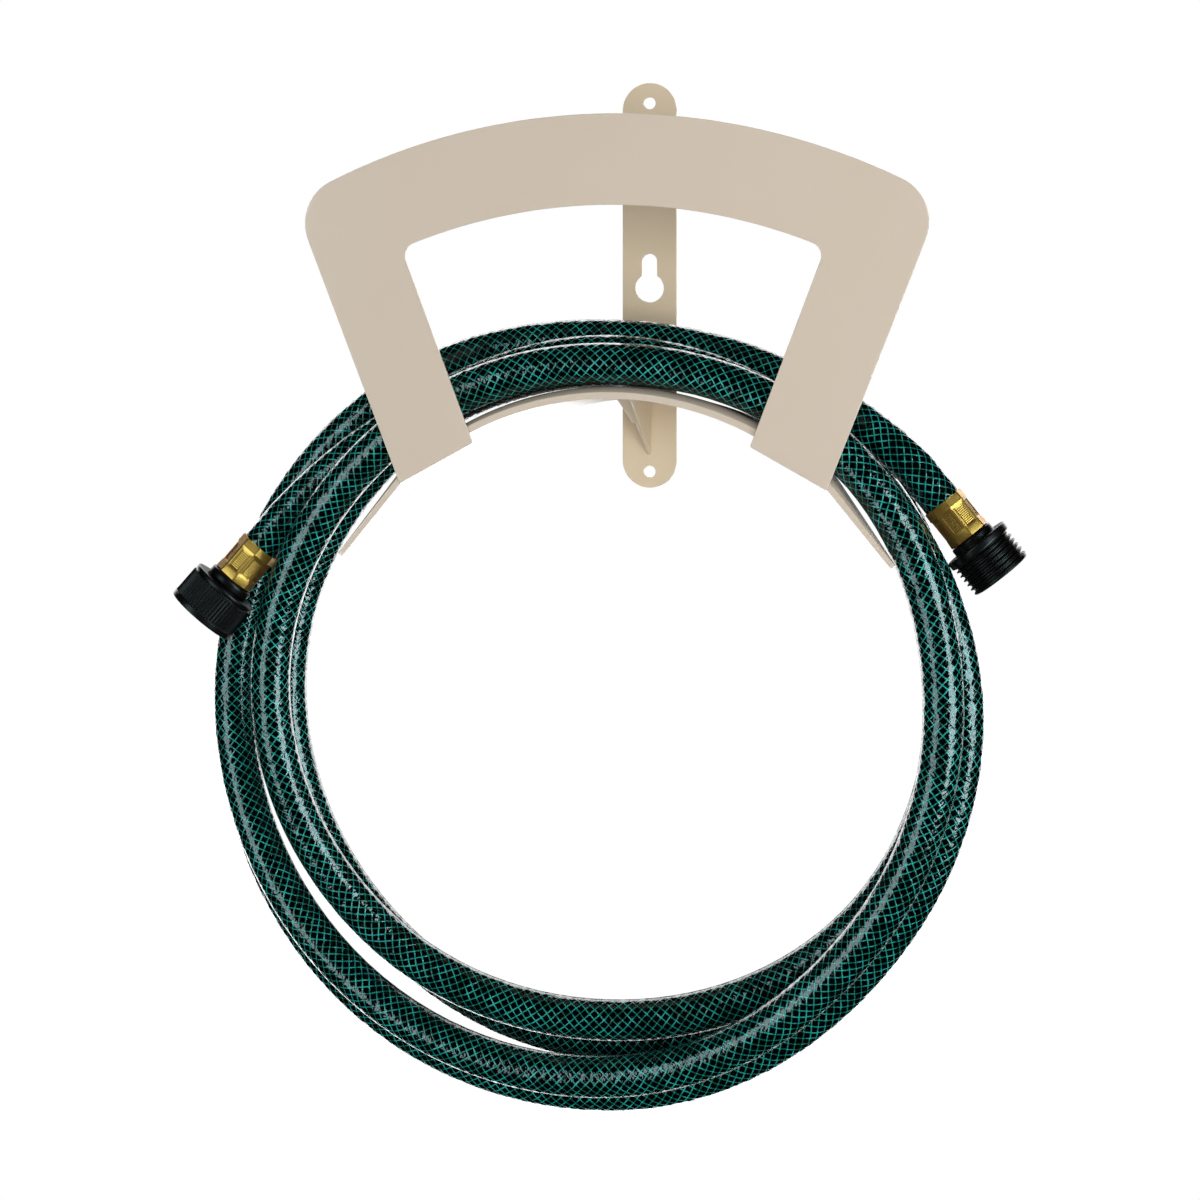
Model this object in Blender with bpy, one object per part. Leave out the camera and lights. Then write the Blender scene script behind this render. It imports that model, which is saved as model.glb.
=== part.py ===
"""Wall hose hanger of pressed steel sheet, with the coiled garden hose that hangs on it.

The wall is the plane y = 0 and the hanger reaches out towards -Y. The origin lies on the
back of the wall plate, level with the top of the saddle. All sizes are in metres.
"""

import math

import bmesh
import bpy
import numpy as np
from mathutils import Matrix, Vector

# Clearances
JOIN_GAP = 0.0003
TURN_GAP = 0.0004

# Wall plate
PLATE_WIDTH = 0.024
PLATE_THICKNESS = 0.002
PLATE_TOP = 0.1273
PLATE_BOTTOM = -0.0494
SCREW_HOLE_DIAMETER = 0.0052
TOP_HOLE_FROM_END = 0.0088
BOTTOM_HOLE_FROM_END = 0.0070
KEYHOLE_HEAD_HEIGHT = 0.0378
KEYHOLE_HEAD_DIAMETER = 0.0125
KEYHOLE_SLOT_WIDTH = 0.0065
KEYHOLE_LENGTH = 0.0212

# Front guard
HANGER_DEPTH = 0.095
GUARD_THICKNESS = 0.0016
GUARD_CROWN = 0.1091
GUARD_ARCH_RADIUS = 0.2672
GUARD_SHOULDER_RADIUS = 0.019
WINDOW_CROWN = 0.0724
WINDOW_ARCH_RADIUS = 0.2240
WINDOW_CORNER_RADIUS = 0.0055
LEG_OUTER_AT_ZERO = 0.1032
LEG_OUTER_LEAN = 0.3916
LEG_INNER_AT_ZERO = 0.0656
LEG_INNER_LEAN = 0.379
LEG_TOE_DROP = 0.0048

# Saddle
SADDLE_THICKNESS = 0.0015
SADDLE_RADIUS = 0.130
SADDLE_ROUND_ANGLE = math.radians(40)
SADDLE_SHOULDER_RADIUS = 0.050
SADDLE_SHOULDER_ANGLE = math.radians(14)
SADDLE_HALF_WIDTH = 0.114
SADDLE_FALL = 0.096
SADDLE_FULL_DEPTH_HALF = 0.045
SADDLE_CORNER_POWER = 1.4
SADDLE_TIP_DEPTH = 0.002
NOSE_HEIGHT = 0.0055
NOSE_TIP_HEIGHT = 0.0023
NOSE_ROLL_LENGTH = 0.0095
NOSE_TIP_ROLL_LENGTH = 0.0018
NOSE_ROLL_DROP = 0.0028
NOSE_TIP_ROLL_DROP = 0.0004
NOSE_TAPER_START = 0.082

# Gusset
GUSSET_THICKNESS = 0.0016
GUSSET_LEG = 0.0248
GUSSET_ANGLE = math.radians(27.8)
GUSSET_NOSE = 0.0015
GUSSET_RELIEF = 0.004
FLANGE_WIDTH = 0.0045
FLANGE_END_WIDTH = 0.0012
FLANGE_END_DEPTH = 0.030

# Hose: the coil is described round its middle, clockwise as seen from the front
HOSE_DIAMETER = 0.0165
COIL_MIDDLE_HEIGHT = -0.125
POINTS_PER_LOOP = 24
STATIONS_PER_LOOP = 8
FIRST_STATION = -1
NEAREST_TO_END = 0.4
HOSE_TILT = math.radians(40)
LEFT_END = Vector((-0.1524, -0.0758, -0.0698))
LEFT_AXIS = Vector((-0.626, -0.196, -0.755)).normalized()
RIGHT_END = Vector((0.1300, -0.0580, -0.0475))
RIGHT_AXIS = Vector((0.631, 0.0, -0.776)).normalized()

# Distance from the coil's middle and depth in front of the wall, every eighth of a loop
# from just left of the top: the run-in, four loops and the run-out
HOSE_STATIONS = (
    (0.1445, 0.0665),
    (0.1360, 0.0670), (0.1325, 0.0674), (0.1390, 0.0674), (0.1480, 0.0670),
    (0.1678, 0.0625), (0.1797, 0.0530), (0.1740, 0.0410), (0.1545, 0.0290),
    (0.1386, 0.0215), (0.1315, 0.0214), (0.1302, 0.0285), (0.1385, 0.0370),
    (0.1532, 0.0445), (0.1538, 0.0465), (0.1510, 0.0445), (0.1400, 0.0400),
    (0.1298, 0.0372), (0.1310, 0.0395), (0.1312, 0.0460), (0.1360, 0.0545),
    (0.1383, 0.0650), (0.1445, 0.0750), (0.1462, 0.0828), (0.1390, 0.0845),
    (0.1335, 0.0846), (0.1350, 0.0846), (0.1322, 0.0840), (0.1390, 0.0820),
    (0.1575, 0.0775), (0.1700, 0.0690), (0.1704, 0.0585), (0.1575, 0.0515),
    (0.1417, 0.0500), (0.1467, 0.0562),
)

# Couplings, along their own axis from the face of the hose
FERRULE_SIDES = 8
FERRULE_LENGTH = 0.0175
FERRULE_RISE = 0.00085
FERRULE_WAIST_DROP = 0.0003
FERRULE_REAR_BAND = 0.0029
FERRULE_FRONT_BAND = 0.0021
FERRULE_SLOPE = 0.0013
FERRULE_WINDOW_MARGIN = 0.0009
FERRULE_WINDOW_DEPTH = 0.0004
WATERWAY_DIAMETER = 0.0090
SPIGOT_WALL = 0.0013
EDGE_BEVEL = 0.0006

TAIL_NECK_DIAMETER = 0.0176
TAIL_COLLAR_RISE = 0.0012
TAIL_COLLAR_LENGTH = 0.0036
TAIL_COLLAR_BEVEL = 0.0009
TAIL_FLANGE_CLEARANCE = 0.0011
TAIL_FLANGE_THICKNESS = 0.0024

NUT_LENGTH = 0.0164
NUT_BORE_DIAMETER = 0.0268
NUT_REAR_WALL = 0.0026
NUT_REAR_RISE = 0.0015
NUT_GROOVE_RISE = 0.0008
NUT_RIB_RISE = 0.0017
NUT_FRONT_RISE = 0.0019
NUT_RIB_DEPTH = 0.0004
NUT_RIBS = 48
NUT_FRONT_BAND = 0.0026
NUT_GROOVE_START = 0.0016
NUT_GROOVE_LENGTH = 0.0009

WASHER_THICKNESS = 0.0025
WASHER_CLEARANCE = 0.0009
WASHER_HOLE_DIAMETER = 0.0140

THREAD_CREST_DIAMETER = 0.0270
THREAD_DEPTH = 0.0012
THREAD_PITCH = 0.0022
THREAD_CRESTS = 6
THREAD_CREST_WIDTH = 0.0004
THREAD_ROOT_WIDTH = 0.0007
MALE_COLLAR_DIAMETER = 0.0190
MALE_COLLAR_LENGTH = 0.0032
MALE_FLANGE_RISE = 0.0007
MALE_FLANGE_THICKNESS = 0.0036
MALE_MOUTH_DIAMETER = 0.0170
MALE_MOUTH_DEPTH = 0.0120

# Places that follow from the sizes above
PLATE_FRONT = -PLATE_THICKNESS
GUARD_BACK = -HANGER_DEPTH + GUARD_THICKNESS
NOSE_FRONT = GUARD_BACK + JOIN_GAP
SADDLE_BACK = PLATE_FRONT - JOIN_GAP
BORE_RADIUS = WATERWAY_DIAMETER / 2
SPIGOT_RADIUS = BORE_RADIUS + SPIGOT_WALL
NUT_BORE_RADIUS = NUT_BORE_DIAMETER / 2
THREAD_CREST_RADIUS = THREAD_CREST_DIAMETER / 2

# Fineness of the meshes
PROFILE_STEPS = 44
ARC_STEPS = 24
CORNER_STEPS = 8
BEND_STEPS = 4
TURN_SEGMENTS = 40
SEARCH_STEPS = 40
GAP_SAMPLES = 8
SMOOTH_ANGLE = math.radians(35)


def clear_scene():
    """Remove whatever the startup scene holds."""
    for obj in list(bpy.data.objects):
        bpy.data.objects.remove(obj, do_unlink=True)


def linear(channel):
    """One sRGB channel, 0 to 1, as linear light."""
    if channel <= 0.04045:
        return channel / 12.92
    return ((channel + 0.055) / 1.055) ** 2.4


def material(name, hex_colour, roughness, metallic=0.0):
    """A Principled material from an sRGB colour such as C8BAA4."""
    made = bpy.data.materials.new(name)
    made.use_nodes = True
    shader = made.node_tree.nodes["Principled BSDF"]
    channels = [linear(int(hex_colour[i:i + 2], 16) / 255) for i in (0, 2, 4)]
    shader.inputs["Base Color"].default_value = (*channels, 1.0)
    shader.inputs["Roughness"].default_value = roughness
    shader.inputs["Metallic"].default_value = metallic
    return made


def link(name, mesh, surface, smooth_angle=None):
    """Put a mesh into the scene as one named object."""
    obj = bpy.data.objects.new(name, mesh)
    obj.data.materials.append(surface)
    bpy.context.scene.collection.objects.link(obj)
    if smooth_angle is not None:
        mesh.shade_smooth()
        mesh.set_sharp_from_angle(angle=smooth_angle)
    return obj


def mesh_from(bm, name):
    """Turn a bmesh into a mesh whose faces point outwards."""
    bmesh.ops.recalc_face_normals(bm, faces=bm.faces)
    mesh = bpy.data.meshes.new(name)
    bm.to_mesh(mesh)
    bm.free()
    return mesh


def helper(obj):
    """Mark an object that only shapes another one."""
    obj.hide_render = True
    obj.display_type = "WIRE"
    return obj


def boolean(obj, other, operation):
    """Join another object to this one, or cut it away."""
    step = obj.modifiers.new(other.name, "BOOLEAN")
    step.operation = operation
    step.object = other
    step.solver = "EXACT"


def arc(centre_x, centre_z, radius, start, end, steps=ARC_STEPS):
    """Points of an arc. Angles run anticlockwise from +X as seen from the front."""
    angles = np.linspace(start, end, steps + 1)
    return [(centre_x + radius * math.cos(a), centre_z + radius * math.sin(a)) for a in angles]


def sheet(name, outline, holes, back, thickness, surface):
    """A flat sheet parallel to the wall, from outlines in x and z."""
    bm = bmesh.new()
    edges = []
    for ring in (outline, *holes):
        corners = [bm.verts.new((x, back, z)) for x, z in ring]
        for first, second in zip(corners, corners[1:] + corners[:1]):
            edges.append(bm.edges.new((first, second)))
    bmesh.ops.triangle_fill(bm, use_beauty=True, edges=edges)
    made = bmesh.ops.extrude_face_region(bm, geom=bm.faces[:])["geom"]
    moved = [item for item in made if isinstance(item, bmesh.types.BMVert)]
    bmesh.ops.translate(bm, verts=moved, vec=(0, -thickness, 0))
    return link(name, mesh_from(bm, name), surface, smooth_angle=SMOOTH_ANGLE)


def build_back_plate(surface):
    """Upright wall plate: round ends, a screw hole near each end and a keyhole between them."""
    end_radius = PLATE_WIDTH / 2
    top = arc(0, PLATE_TOP - end_radius, end_radius, 0, math.pi)
    bottom = arc(0, PLATE_BOTTOM + end_radius, end_radius, math.pi, 2 * math.pi)
    holes = []
    for height in (PLATE_TOP - TOP_HOLE_FROM_END, PLATE_BOTTOM + BOTTOM_HOLE_FROM_END):
        holes.append(arc(0, height, SCREW_HOLE_DIAMETER / 2, 0, 2 * math.pi)[:-1])
    head_radius = KEYHOLE_HEAD_DIAMETER / 2
    slot_radius = KEYHOLE_SLOT_WIDTH / 2
    slot_centre = KEYHOLE_HEAD_HEIGHT - head_radius + KEYHOLE_LENGTH - slot_radius
    mouth = math.acos(slot_radius / head_radius)
    head = arc(0, KEYHOLE_HEAD_HEIGHT, head_radius, math.pi - mouth, 2 * math.pi + mouth)
    slot = arc(0, slot_centre, slot_radius, 0, math.pi)
    holes.append(head + slot)
    return sheet("back_plate", top + bottom, holes, 0.0, PLATE_THICKNESS, surface)


def saddle_profile(distance):
    """Top of the saddle's front edge at a distance from its crown along the sheet.

    Returns x, z and the angle that the surface's normal leans outwards. The sheet is round over
    the middle, bends more tightly at each shoulder and runs straight to its tips.
    """
    side = math.copysign(1.0, distance)
    left = abs(distance)
    round_length = SADDLE_RADIUS * SADDLE_ROUND_ANGLE
    shoulder_length = SADDLE_SHOULDER_RADIUS * SADDLE_SHOULDER_ANGLE
    angle = min(left, round_length) / SADDLE_RADIUS
    x = SADDLE_RADIUS * math.sin(angle)
    z = SADDLE_RADIUS * (math.cos(angle) - 1)
    left -= round_length
    if left > 0:
        start = angle
        angle = start + min(left, shoulder_length) / SADDLE_SHOULDER_RADIUS
        x += SADDLE_SHOULDER_RADIUS * (math.sin(angle) - math.sin(start))
        z += SADDLE_SHOULDER_RADIUS * (math.cos(angle) - math.cos(start))
        left -= shoulder_length
    if left > 0:
        x += left * math.cos(angle)
        z -= left * math.sin(angle)
    return side * x, z, side * angle


def saddle_length():
    """Length of half the saddle, measured along the sheet from the crown to a tip."""
    low, high = 0.0, 2 * SADDLE_HALF_WIDTH
    for _ in range(SEARCH_STEPS):
        middle = (low + high) / 2
        if saddle_profile(middle)[0] < SADDLE_HALF_WIDTH:
            low = middle
        else:
            high = middle
    return low


def share_to_tip(x, start):
    """0 up to the given distance from the centre, rising to 1 at a tip."""
    return min(max((abs(x) - start) / (SADDLE_HALF_WIDTH - start), 0.0), 1.0)


def nose_size(x):
    """Height of the turned-down nose, and the length and drop of the roll behind it.

    The roll is where the top curves down to the nose. All three shrink towards the tips.
    """
    share = share_to_tip(x, NOSE_TAPER_START)
    height = NOSE_HEIGHT + (NOSE_TIP_HEIGHT - NOSE_HEIGHT) * share
    length = NOSE_ROLL_LENGTH + (NOSE_TIP_ROLL_LENGTH - NOSE_ROLL_LENGTH) * share
    drop = NOSE_ROLL_DROP + (NOSE_TIP_ROLL_DROP - NOSE_ROLL_DROP) * share
    return height, length, drop


def saddle_depth(x):
    """Depth of the saddle from its nose towards the wall: full in the middle, round at the ends."""
    full = SADDLE_BACK - NOSE_FRONT
    share = share_to_tip(x, SADDLE_FULL_DEPTH_HALF) ** SADDLE_CORNER_POWER
    return full + (SADDLE_TIP_DEPTH - full) * share


def saddle_section(x):
    """Outline of the sheet across its length: depth behind the nose, and height over the top."""
    height, length, drop = nose_size(x)
    depth = saddle_depth(x)
    points = [(depth, 0.0)]
    for place in np.linspace(length, 0.0, BEND_STEPS + 1):
        points.append((place, -drop * (1 - place / length) ** 2))
    points += [(0.0, -height), (SADDLE_THICKNESS, -height)]
    for place in np.linspace(SADDLE_THICKNESS, length, BEND_STEPS + 1):
        points.append((place, -drop * (1 - place / length) ** 2 - SADDLE_THICKNESS))
    points += [(depth, -SADDLE_THICKNESS)]
    return points


def build_saddle(surface):
    """Curved sheet that carries the coil. It falls a little towards the wall."""
    bm = bmesh.new()
    rings = []
    half = saddle_length()
    for distance in np.linspace(-half, half, PROFILE_STEPS + 1):
        x, z, lean = saddle_profile(distance)
        ring = []
        for depth, height in saddle_section(x):
            rise = height - SADDLE_FALL * depth
            place = (x + rise * math.sin(lean), NOSE_FRONT + depth, z + rise * math.cos(lean))
            ring.append(bm.verts.new(place))
        rings.append(ring)
    for first, second in zip(rings, rings[1:]):
        for i in range(len(first)):
            j = (i + 1) % len(first)
            bm.faces.new((first[i], first[j], second[j], second[i]))
    bm.faces.new(rings[0])
    bm.faces.new(rings[-1])
    bmesh.ops.triangulate(bm, faces=[face for face in bm.faces if len(face.verts) > 4])
    return link("saddle", mesh_from(bm, "saddle"), surface, smooth_angle=SMOOTH_ANGLE)


def nose_lip(x):
    """Height of the nose's lower edge, seen from the front, at a distance from the centre."""
    places = []
    for distance in np.linspace(0.0, saddle_length(), BEND_STEPS * PROFILE_STEPS):
        along, z, lean = saddle_profile(distance)
        height = nose_size(along)[0]
        places.append((along - height * math.sin(lean), z - height * math.cos(lean)))
    return float(np.interp(x, [p[0] for p in places], [p[1] for p in places]))


def arch_half(crown, radius, side_at_zero, lean, corner):
    """Right half of an arch over a leaning side, from the crown down to the side's own line.

    The corner between the arch and the side is rounded.
    """
    centre_z = crown - radius
    run = math.hypot(1.0, lean)
    inward = (-1.0 / run, lean / run)
    along = (lean / run, 1.0 / run)
    base = (side_at_zero + corner * inward[0], corner * inward[1])
    offset = (base[0], base[1] - centre_z)
    half_b = offset[0] * along[0] + offset[1] * along[1]
    rest = offset[0] ** 2 + offset[1] ** 2 - (radius - corner) ** 2
    travel = -half_b + math.sqrt(half_b ** 2 - rest)
    middle = (base[0] + travel * along[0], base[1] + travel * along[1])
    top_angle = math.atan2(middle[1] - centre_z, middle[0])
    side_angle = math.atan2(-inward[1], -inward[0])
    points = arc(0, centre_z, radius, math.pi / 2, top_angle)
    points += arc(middle[0], middle[1], corner, top_angle, side_angle, CORNER_STEPS)[1:]
    return points


def leg_corner(side_at_zero, lean, drop):
    """Where a side of the guard's leg ends, at the nose's lower edge or a little below it."""
    x, z = side_at_zero, 0.0
    for _ in range(SEARCH_STEPS):
        z = nose_lip(x) - drop
        x = side_at_zero + lean * z
    return x, z


def build_front_guard(surface):
    """Flat arch-shaped plate at the front, with an arch-shaped window and two legs."""
    outer_side = (LEG_OUTER_AT_ZERO, LEG_OUTER_LEAN)
    inner_side = (LEG_INNER_AT_ZERO, LEG_INNER_LEAN)
    outer = arch_half(GUARD_CROWN, GUARD_ARCH_RADIUS, *outer_side, GUARD_SHOULDER_RADIUS)
    inner = arch_half(WINDOW_CROWN, WINDOW_ARCH_RADIUS, *inner_side, WINDOW_CORNER_RADIUS)
    outer.append(leg_corner(*outer_side, 0.0))
    inner.append(leg_corner(*inner_side, LEG_TOE_DROP))
    right = outer + inner[::-1]
    left = [(-x, z) for x, z in right[1:-1]][::-1]
    return sheet("front_guard", right + left, [], GUARD_BACK, GUARD_THICKNESS, surface)


def underside(y):
    """Height of the saddle's underside along its middle."""
    return -SADDLE_THICKNESS - SADDLE_FALL * (y - NOSE_FRONT)


def prism(name, outline, low_x, high_x, surface):
    """A solid between two planes across X, from an outline in y and z."""
    bm = bmesh.new()
    rings = []
    for x in (low_x, high_x):
        rings.append([bm.verts.new((x, y, z)) for y, z in outline])
    for i in range(len(outline)):
        j = (i + 1) % len(outline)
        bm.faces.new((rings[0][i], rings[0][j], rings[1][j], rings[1][i]))
    bm.faces.new(rings[0])
    bm.faces.new(rings[1])
    return link(name, mesh_from(bm, name), surface)


def build_gusset(surface):
    """Upright web under the saddle, with a folded flange along the front of its sloping edge."""
    back = SADDLE_BACK
    slope = math.tan(GUSSET_ANGLE)
    toe = underside(back) - GUSSET_LEG
    top_back = underside(back) - JOIN_GAP
    front = back - (GUSSET_LEG - JOIN_GAP - GUSSET_NOSE) / (slope - SADDLE_FALL)
    relief_front = back - GUSSET_RELIEF
    web_outline = [
        (back, toe),
        (back, top_back - GUSSET_RELIEF),
        (relief_front, underside(relief_front) - JOIN_GAP - GUSSET_RELIEF),
        (relief_front, underside(relief_front) - JOIN_GAP),
        (front, underside(front) - JOIN_GAP),
        (front, toe + slope * (back - front)),
    ]
    half = GUSSET_THICKNESS / 2
    web = prism("gusset", web_outline, -half, half, surface)

    end = back - FLANGE_END_DEPTH
    rise = GUSSET_THICKNESS / math.cos(GUSSET_ANGLE)
    bm = bmesh.new()
    rings = []
    for y, width in ((front, FLANGE_WIDTH), (end, FLANGE_END_WIDTH)):
        low = toe + slope * (back - y)
        high = min(low + rise, underside(y) - JOIN_GAP)
        outside = -half - width
        places = ((outside, y, low), (0.0, y, low), (0.0, y, high), (outside, y, high))
        rings.append([bm.verts.new(place) for place in places])
    for i in range(4):
        j = (i + 1) % 4
        bm.faces.new((rings[0][i], rings[0][j], rings[1][j], rings[1][i]))
    bm.faces.new(rings[0])
    bm.faces.new(rings[1])
    flange = helper(link("gusset_flange", mesh_from(bm, "gusset_flange"), surface))
    boolean(web, flange, "UNION")
    return web


def angle_about_middle(point, loop):
    """Clockwise angle of a point round the coil's middle, in degrees, in the given loop."""
    return math.degrees(math.atan2(point.x, point.z - COIL_MIDDLE_HEIGHT)) + 360 * loop


def hose_stations():
    """Angle, radius and depth of every station, with the straight ends at the couplings."""
    step = 360 / STATIONS_PER_LOOP
    rows = []
    for number, (radius, depth) in enumerate(HOSE_STATIONS):
        rows.append(((FIRST_STATION + number) * step, radius, -depth))
    loops = round(rows[-1][0] / 360)
    ends = ((LEFT_END, LEFT_AXIS, 0, True), (RIGHT_END, RIGHT_AXIS, loops, False))
    for end, axis, loop, first in ends:
        inner = end - HOSE_DIAMETER * axis
        pair = []
        for point in (end, inner):
            radius = math.hypot(point.x, point.z - COIL_MIDDLE_HEIGHT)
            pair.append((angle_about_middle(point, loop), radius, point.y))
        rows = pair + rows if first else rows + pair[::-1]
    return rows


def slope_at(rows, index, column):
    """Slope of a station column against the angle, weighted by the neighbours' distance."""
    before, here = rows[max(index - 1, 0)], rows[index]
    after = rows[min(index + 1, len(rows) - 1)]
    back, ahead = here[0] - before[0], after[0] - here[0]
    if back == 0:
        return (after[column] - here[column]) / ahead
    if ahead == 0:
        return (here[column] - before[column]) / back
    first = (here[column] - before[column]) / back
    second = (after[column] - here[column]) / ahead
    return (first * ahead + second * back) / (back + ahead)


def place_at(rows, angle):
    """Point of the hose's centre line at an angle, from a smooth curve through the stations."""
    index = max(i for i in range(len(rows) - 1) if rows[i][0] <= angle)
    span = rows[index + 1][0] - rows[index][0]
    t = (angle - rows[index][0]) / span
    values = []
    for column in (1, 2):
        start, end = rows[index][column], rows[index + 1][column]
        leave = slope_at(rows, index, column) * span
        arrive = slope_at(rows, index + 1, column) * span
        value = (2 * t ** 3 - 3 * t ** 2 + 1) * start + (3 * t ** 2 - 2 * t ** 3) * end
        value += (t ** 3 - 2 * t ** 2 + t) * leave + (t ** 3 - t ** 2) * arrive
        values.append(value)
    radius, depth = values
    turn = math.radians(angle)
    return Vector((radius * math.sin(turn), depth, COIL_MIDDLE_HEIGHT + radius * math.cos(turn)))


def hose_points():
    """Centre line of the hose: both straight ends, and the points of every loop between them."""
    rows = hose_stations()
    step = 360 / POINTS_PER_LOOP
    nearest = NEAREST_TO_END * step
    first = math.ceil((rows[1][0] + nearest) / step)
    last = math.floor((rows[-2][0] - nearest) / step)
    points = [LEFT_END, LEFT_END - HOSE_DIAMETER * LEFT_AXIS]
    for number in range(first, last + 1):
        points.append(place_at(rows, number * step))
    points += [RIGHT_END - HOSE_DIAMETER * RIGHT_AXIS, RIGHT_END]
    return points


def least_gap(points, diameter):
    """Least gap between stretches of the tube that lie at least half a loop apart."""
    fine = []
    for first, second in zip(points, points[1:]):
        fine += [np.array(first.lerp(second, i / GAP_SAMPLES)) for i in range(GAP_SAMPLES)]
    fine = np.array(fine)
    apart = POINTS_PER_LOOP // 2 * GAP_SAMPLES
    least = math.inf
    for index in range(len(fine) - apart):
        distances = np.linalg.norm(fine[index + apart:] - fine[index], axis=1)
        least = min(least, float(distances.min()))
    return least - diameter


def build_hose(surface):
    """The hose as one unbroken tube."""
    points = hose_points()
    curve = bpy.data.curves.new("hose", "CURVE")
    curve.dimensions = "3D"
    curve.bevel_depth = HOSE_DIAMETER / 2
    curve.bevel_resolution = 1
    curve.use_fill_caps = True
    spline = curve.splines.new("POLY")
    spline.points.add(len(points) - 1)
    for knot, point in zip(spline.points, points):
        knot.co = (*point, 1.0)
        knot.tilt = HOSE_TILT
    curve.materials.append(surface)
    hose = bpy.data.objects.new("hose", curve)
    bpy.context.scene.collection.objects.link(hose)
    length = sum((b - a).length for a, b in zip(points, points[1:]))
    gap = least_gap(points, HOSE_DIAMETER)
    print(f"hose: {len(points)} points, {length:.3f} m, least gap to itself {gap * 1000:.2f} mm")
    return hose


def coupling_frame(name, end, axis):
    """Empty at a hose end whose +Z runs along the coupling, away from the hose."""
    sideways = Vector((0, -1, 0)).cross(axis).normalized()
    forward = axis.cross(sideways)
    turned_axes = Matrix((sideways, forward, axis)).transposed().to_4x4()
    frame = bpy.data.objects.new(name, None)
    frame.matrix_world = Matrix.Translation(end) @ turned_axes
    frame.empty_display_size = 0.01
    bpy.context.scene.collection.objects.link(frame)
    return frame


def turned(name, profile, frame, surface, segments=TURN_SEGMENTS, ribbed=(), rib_depth=0.0):
    """A turned ring from a closed profile of radius and distance along the axis.

    The profile points whose numbers are in ribbed drop by rib_depth on every other segment.
    """
    bm = bmesh.new()
    rings = []
    for number in range(segments):
        angle = 2 * math.pi * number / segments
        ring = []
        for index, (radius, along) in enumerate(profile):
            if index in ribbed and number % 2:
                radius -= rib_depth
            ring.append(bm.verts.new((radius * math.cos(angle), radius * math.sin(angle), along)))
        rings.append(ring)
    for number in range(segments):
        first, second = rings[number], rings[(number + 1) % segments]
        for i in range(len(profile)):
            j = (i + 1) % len(profile)
            bm.faces.new((first[i], first[j], second[j], second[i]))
    obj = link(name, mesh_from(bm, name), surface, smooth_angle=SMOOTH_ANGLE)
    obj.parent = frame
    return obj


def build_ferrule(name, frame, surface):
    """Eight-sided crimped brass sleeve with a sunk window in each side."""
    start = JOIN_GAP
    end = start + FERRULE_LENGTH
    widest = HOSE_DIAMETER / 2 + FERRULE_RISE
    waist = widest - FERRULE_WAIST_DROP
    rows = (
        (widest, start),
        (widest, start + FERRULE_REAR_BAND),
        (waist, start + FERRULE_REAR_BAND + FERRULE_SLOPE),
        (waist, end - FERRULE_FRONT_BAND),
        (widest, end),
    )
    window_level = 2
    bm = bmesh.new()
    rings = []
    for radius, along in rows:
        ring = []
        for number in range(FERRULE_SIDES):
            angle = 2 * math.pi * number / FERRULE_SIDES
            ring.append(bm.verts.new((radius * math.cos(angle), radius * math.sin(angle), along)))
        rings.append(ring)
    windows = []
    for level, (first, second) in enumerate(zip(rings, rings[1:])):
        for i in range(FERRULE_SIDES):
            j = (i + 1) % FERRULE_SIDES
            face = bm.faces.new((first[i], first[j], second[j], second[i]))
            if level == window_level:
                windows.append(face)
    bm.faces.new(rings[0])
    bm.faces.new(rings[-1])
    bmesh.ops.recalc_face_normals(bm, faces=bm.faces)
    bmesh.ops.inset_individual(
        bm, faces=windows, thickness=FERRULE_WINDOW_MARGIN, depth=-FERRULE_WINDOW_DEPTH
    )
    sleeve = link(name, mesh_from(bm, name), surface)
    sleeve.parent = frame

    bm = bmesh.new()
    bmesh.ops.create_cone(
        bm,
        cap_ends=True,
        segments=TURN_SEGMENTS // 2,
        radius1=SPIGOT_RADIUS + TURN_GAP,
        radius2=SPIGOT_RADIUS + TURN_GAP,
        depth=4 * FERRULE_LENGTH,
    )
    bore = helper(link(name + "_bore", mesh_from(bm, name + "_bore"), surface))
    bore.parent = frame
    boolean(sleeve, bore, "DIFFERENCE")
    return sleeve


def ferrule_end():
    """Distance along a coupling where the part behind the brass sleeve begins."""
    return JOIN_GAP + FERRULE_LENGTH + JOIN_GAP


def nut_start():
    """Distance along the left coupling where the swivel nut begins."""
    return ferrule_end() + TAIL_COLLAR_LENGTH + TURN_GAP


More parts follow.
